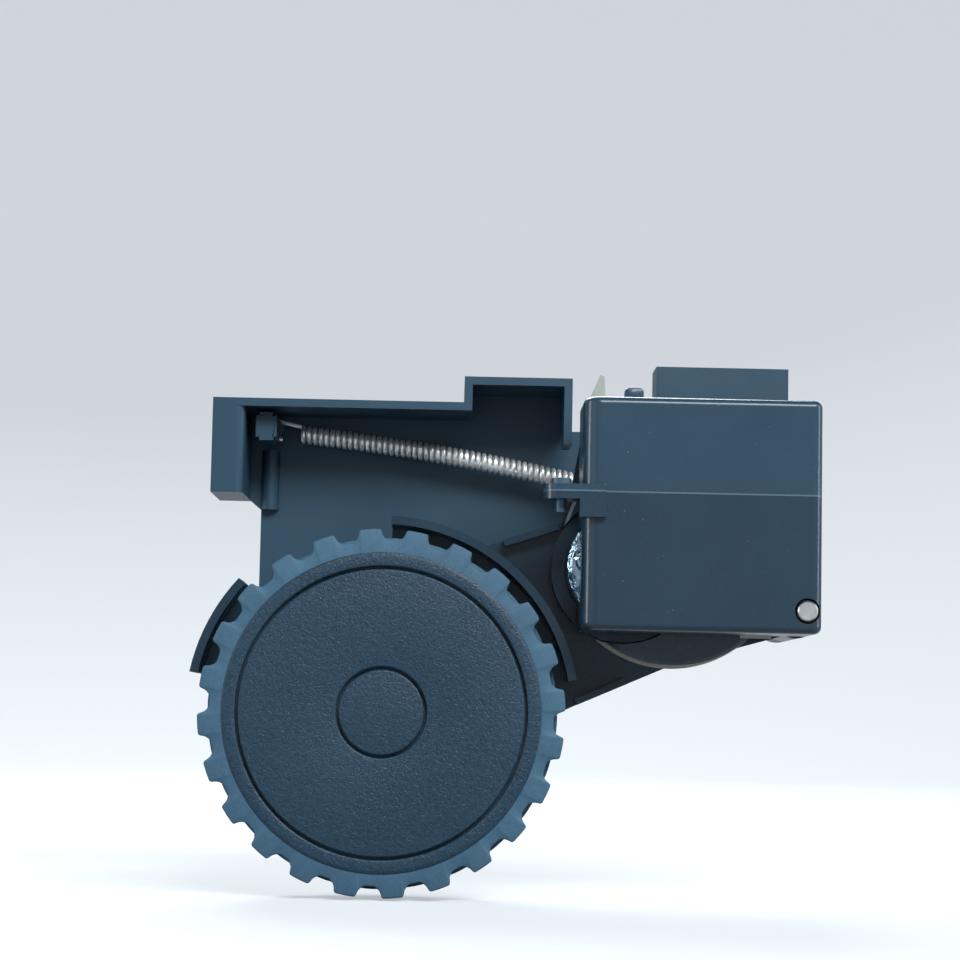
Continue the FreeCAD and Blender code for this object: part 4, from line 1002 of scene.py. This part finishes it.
@dataclass
class CadLook:
    """Which finish each CAD node takes where it isn't its slot's, and how soft its edges are, in millimetres."""

    slots: dict[str, str]
    soft: dict[str, float] = field(default_factory=lambda: {
        "bracket": 0.25, "arm_case": 0.25, "upper_box": 0.4, "lower_box": 0.4, "motor_drum": 0.25,
        "gear_cover": 0.25, "motor_can": 0.15, "wheel_hub": 0.25, "connector_socket": 0.15, "box_screw": 0.1,
        "cover_screws": 0.1})
    # the lower box half's finish is a darker copy of the cover plastic: painted shade
    own: dict[str, str] = field(default_factory=lambda: {
        "lower_box": "cover_low", "motor_drum": "drum_plastic", "box_screw": "lug_steel"})

    def apply(self, nodes: dict[str, bpy.types.Object], paint: Paint, repeats: Repeats) -> None:
        """Dresses the CAD nodes that still show.

        Args:
            nodes: Their objects by name.
            paint: What gives materials.
            repeats: What softens edges.
        """
        for name, node in nodes.items():
            if node.hide_render:
                continue
            node.data.materials.clear()
            finish = self.own.get(name, self.slots[name])
            node.data.materials.append(paint(finish))
            if name in self.soft:
                repeats.soften(node, self.soft[name])
            LOG.info("CAD node %s in %s", name, finish)


@dataclass(frozen=True)
class CameraSizes:
    """The camera, in millimetres and degrees."""

    place: Triple = (-14.21, -505.33, -37.85)
    target: Triple = (-9.3, -44.35, 6.33)
    roll: float = 1.153
    lens: float = 91.39


@dataclass(frozen=True)
class FloorSizes:
    """The floor, in millimetres: its flat part, the curve at its edge and the top of its wall."""

    flat: float = 900.0
    curve: float = 500.0
    top: float = 1500.0
    curve_steps: int = 16
    sides: int = 96


@dataclass(frozen=True)
class FloorLook:
    """The floor's linear colours, as the camera sees it and as it lights the object, and its glow."""

    seen: Triple = (0.42, 0.44, 0.46)
    lighting: Triple = (0.12, 0.13, 0.14)
    glow: float = 0.48
    glow_colour: Triple = (0.9, 0.95, 1.0)
    mirrored: float = 0.45
    roughness: float = 0.85


@dataclass(frozen=True)
class Lamp:
    """A rectangular lamp that faces the origin, in metres and watts, with a linear tint."""

    name: str
    place: Triple
    size: Point
    power: float
    tint: Triple


@dataclass(frozen=True)
class Sky:
    """The even light of the world."""

    colour: Triple = (0.93, 0.96, 1.0)
    strength: float = 0.04


LAMPS = (
    Lamp("key", (0.42, -0.93, 0.78), (1.0, 0.4), 20.0, (0.95, 0.98, 1.0)),
    Lamp("fill", (-0.8, -0.8, 0.1), (0.6, 0.6), 0.7, (0.92, 0.97, 1.0)),
    Lamp("left_strip", (-0.85, -0.2, 0.1), (0.12, 0.8), 3.2, (0.93, 0.97, 1.0)),
    Lamp("right_strip", (0.85, -0.15, 0.15), (0.14, 0.8), 3.0, (0.92, 0.97, 1.0)),
    Lamp("rim", (-0.15, 0.8, 0.75), (0.7, 0.5), 11.0, (0.95, 0.98, 1.0)),
)


class Stage:
    """The floor, the lamps, the sky and the camera."""

    def __init__(self, maker: Maker) -> None:
        """Takes the floor's sizes and look.

        Args:
            maker: What makes the floor.
        """
        self.maker = maker
        self.sizes = FloorSizes()
        self.look = FloorLook()

    def build(self, low: float) -> None:
        """Makes the stage.

        Args:
            low: The floor's height, in metres.
        """
        self.floor(low)
        for lamp in LAMPS:
            self.light(lamp)
        self.world(Sky())
        self.shoot(CameraSizes())

    def floor(self, low: float) -> None:
        """Makes a pale floor that curves up far out.

        Args:
            low: Its height, in metres.
        """
        s = self.sizes
        bends = [math.pi / 2 * i / s.curve_steps for i in range(1, s.curve_steps + 1)]
        profile = [(s.flat, 0.0)]
        profile += [(s.flat + s.curve * math.sin(a), s.curve - s.curve * math.cos(a)) for a in bends]
        profile.append((s.flat + s.curve, s.top))
        bm = bmesh.new()
        rows = [[bm.verts.new((0, 0, low / MM))] * s.sides]
        for radius, height in profile:
            rows.append([bm.verts.new((radius * math.cos(TAU * i / s.sides), radius * math.sin(TAU * i / s.sides),
                                       height + low / MM)) for i in range(s.sides)])
        for inner, outer in zip(rows, rows[1:]):
            for i in range(s.sides):
                after = (i + 1) % s.sides
                bm.faces.new(list(dict.fromkeys((inner[i], outer[i], outer[after], inner[after]))))
        floor = self.maker.raw("floor", bm)
        floor.data.polygons.foreach_set("use_smooth", [True] * len(floor.data.polygons))
        floor.data.materials.append(self.floor_material())
        floor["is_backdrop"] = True

    def floor_material(self) -> bpy.types.Material:
        """Makes the floor pale to the camera, and dark where it would throw light back on the object.

        Returns:
            A new material.
        """
        look = self.look
        material = bpy.data.materials.new("floor")
        material.use_nodes = True
        w = TreeWriter(material.node_tree)
        rays = w.add("ShaderNodeLightPath").outputs
        gloss = w.reckoned("MULTIPLY", rays["Is Glossy Ray"], look.mirrored)
        seen = w.reckoned("MAXIMUM", rays["Is Camera Ray"], gloss)
        seen = w.reckoned("MAXIMUM", seen, rays["Is Transmission Ray"])
        shader = material.node_tree.nodes["Principled BSDF"]
        material.node_tree.links.new(w.mixed(seen, look.lighting, look.seen), shader.inputs["Base Color"])
        material.node_tree.links.new(w.reckoned("MULTIPLY", seen, look.glow), shader.inputs["Emission Strength"])
        shader.inputs["Emission Color"].default_value = (*look.glow_colour, 1)
        shader.inputs["Roughness"].default_value = look.roughness
        return material

    @staticmethod
    def light(lamp: Lamp) -> None:
        """Hangs a lamp.

        Args:
            lamp: Where and how strong it is.
        """
        data = bpy.data.lights.new(lamp.name, "AREA")
        data.shape = "RECTANGLE"
        data.size, data.size_y = lamp.size
        data.energy = lamp.power
        data.color = lamp.tint
        holder = bpy.data.objects.new(lamp.name, data)
        bpy.context.scene.collection.objects.link(holder)
        holder.location = lamp.place
        holder.rotation_euler = (-Vector(lamp.place)).to_track_quat("-Z", "Y").to_euler()

    @staticmethod
    def world(sky: Sky) -> None:
        """Makes a dim even sky.

        Args:
            sky: Its colour and strength.
        """
        world = bpy.data.worlds.new("sky")
        world.use_nodes = True
        background = world.node_tree.nodes["Background"]
        background.inputs["Color"].default_value = (*sky.colour, 1)
        background.inputs["Strength"].default_value = sky.strength
        bpy.context.scene.world = world

    @staticmethod
    def shoot(sizes: CameraSizes) -> None:
        """Sets up the camera, without depth of field.

        Args:
            sizes: Where it stands and looks.
        """
        data = bpy.data.cameras.new("camera")
        data.lens = sizes.lens
        data.clip_start = 10 * MM
        data.dof.use_dof = False
        holder = bpy.data.objects.new("camera", data)
        bpy.context.scene.collection.objects.link(holder)
        place, target = Vector(sizes.place) * MM, Vector(sizes.target) * MM
        aim = (target - place).to_track_quat("-Z", "Y").to_matrix().to_4x4()
        spin = Matrix.Rotation(math.radians(sizes.roll), 4, "Z")
        holder.matrix_world = Matrix.Translation(place) @ aim @ spin
        bpy.context.scene.camera = holder
        bpy.context.scene.view_settings.view_transform = "Standard"


def corners(bounds: Sequence[Vector]) -> list[list[float]]:
    """Writes a box's corners as plain numbers.

    Args:
        bounds: The two corners.

    Returns:
        The same corners as lists.
    """
    return [list(corner) for corner in bounds]


def main() -> None:
    """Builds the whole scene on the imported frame."""
    logging.basicConfig(level=logging.INFO, format="%(name)s: %(message)s")
    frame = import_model()
    cad_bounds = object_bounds()
    paint = Paint(FINISHES)
    maker = Maker(paint)
    repeats = Repeats()
    Wheel(maker, repeats).build()
    Spring(maker).build()
    Stubs(maker).build()
    slots = {part["node"]: part["material_slot"] for part in frame["record"]["subparts"]}
    CadLook(slots).apply(frame["nodes"], paint, repeats)
    floor_gap = 0.2 * MM
    Stage(maker).build(cad_bounds[0].z - floor_gap)


if __name__ == "__main__":
    main()
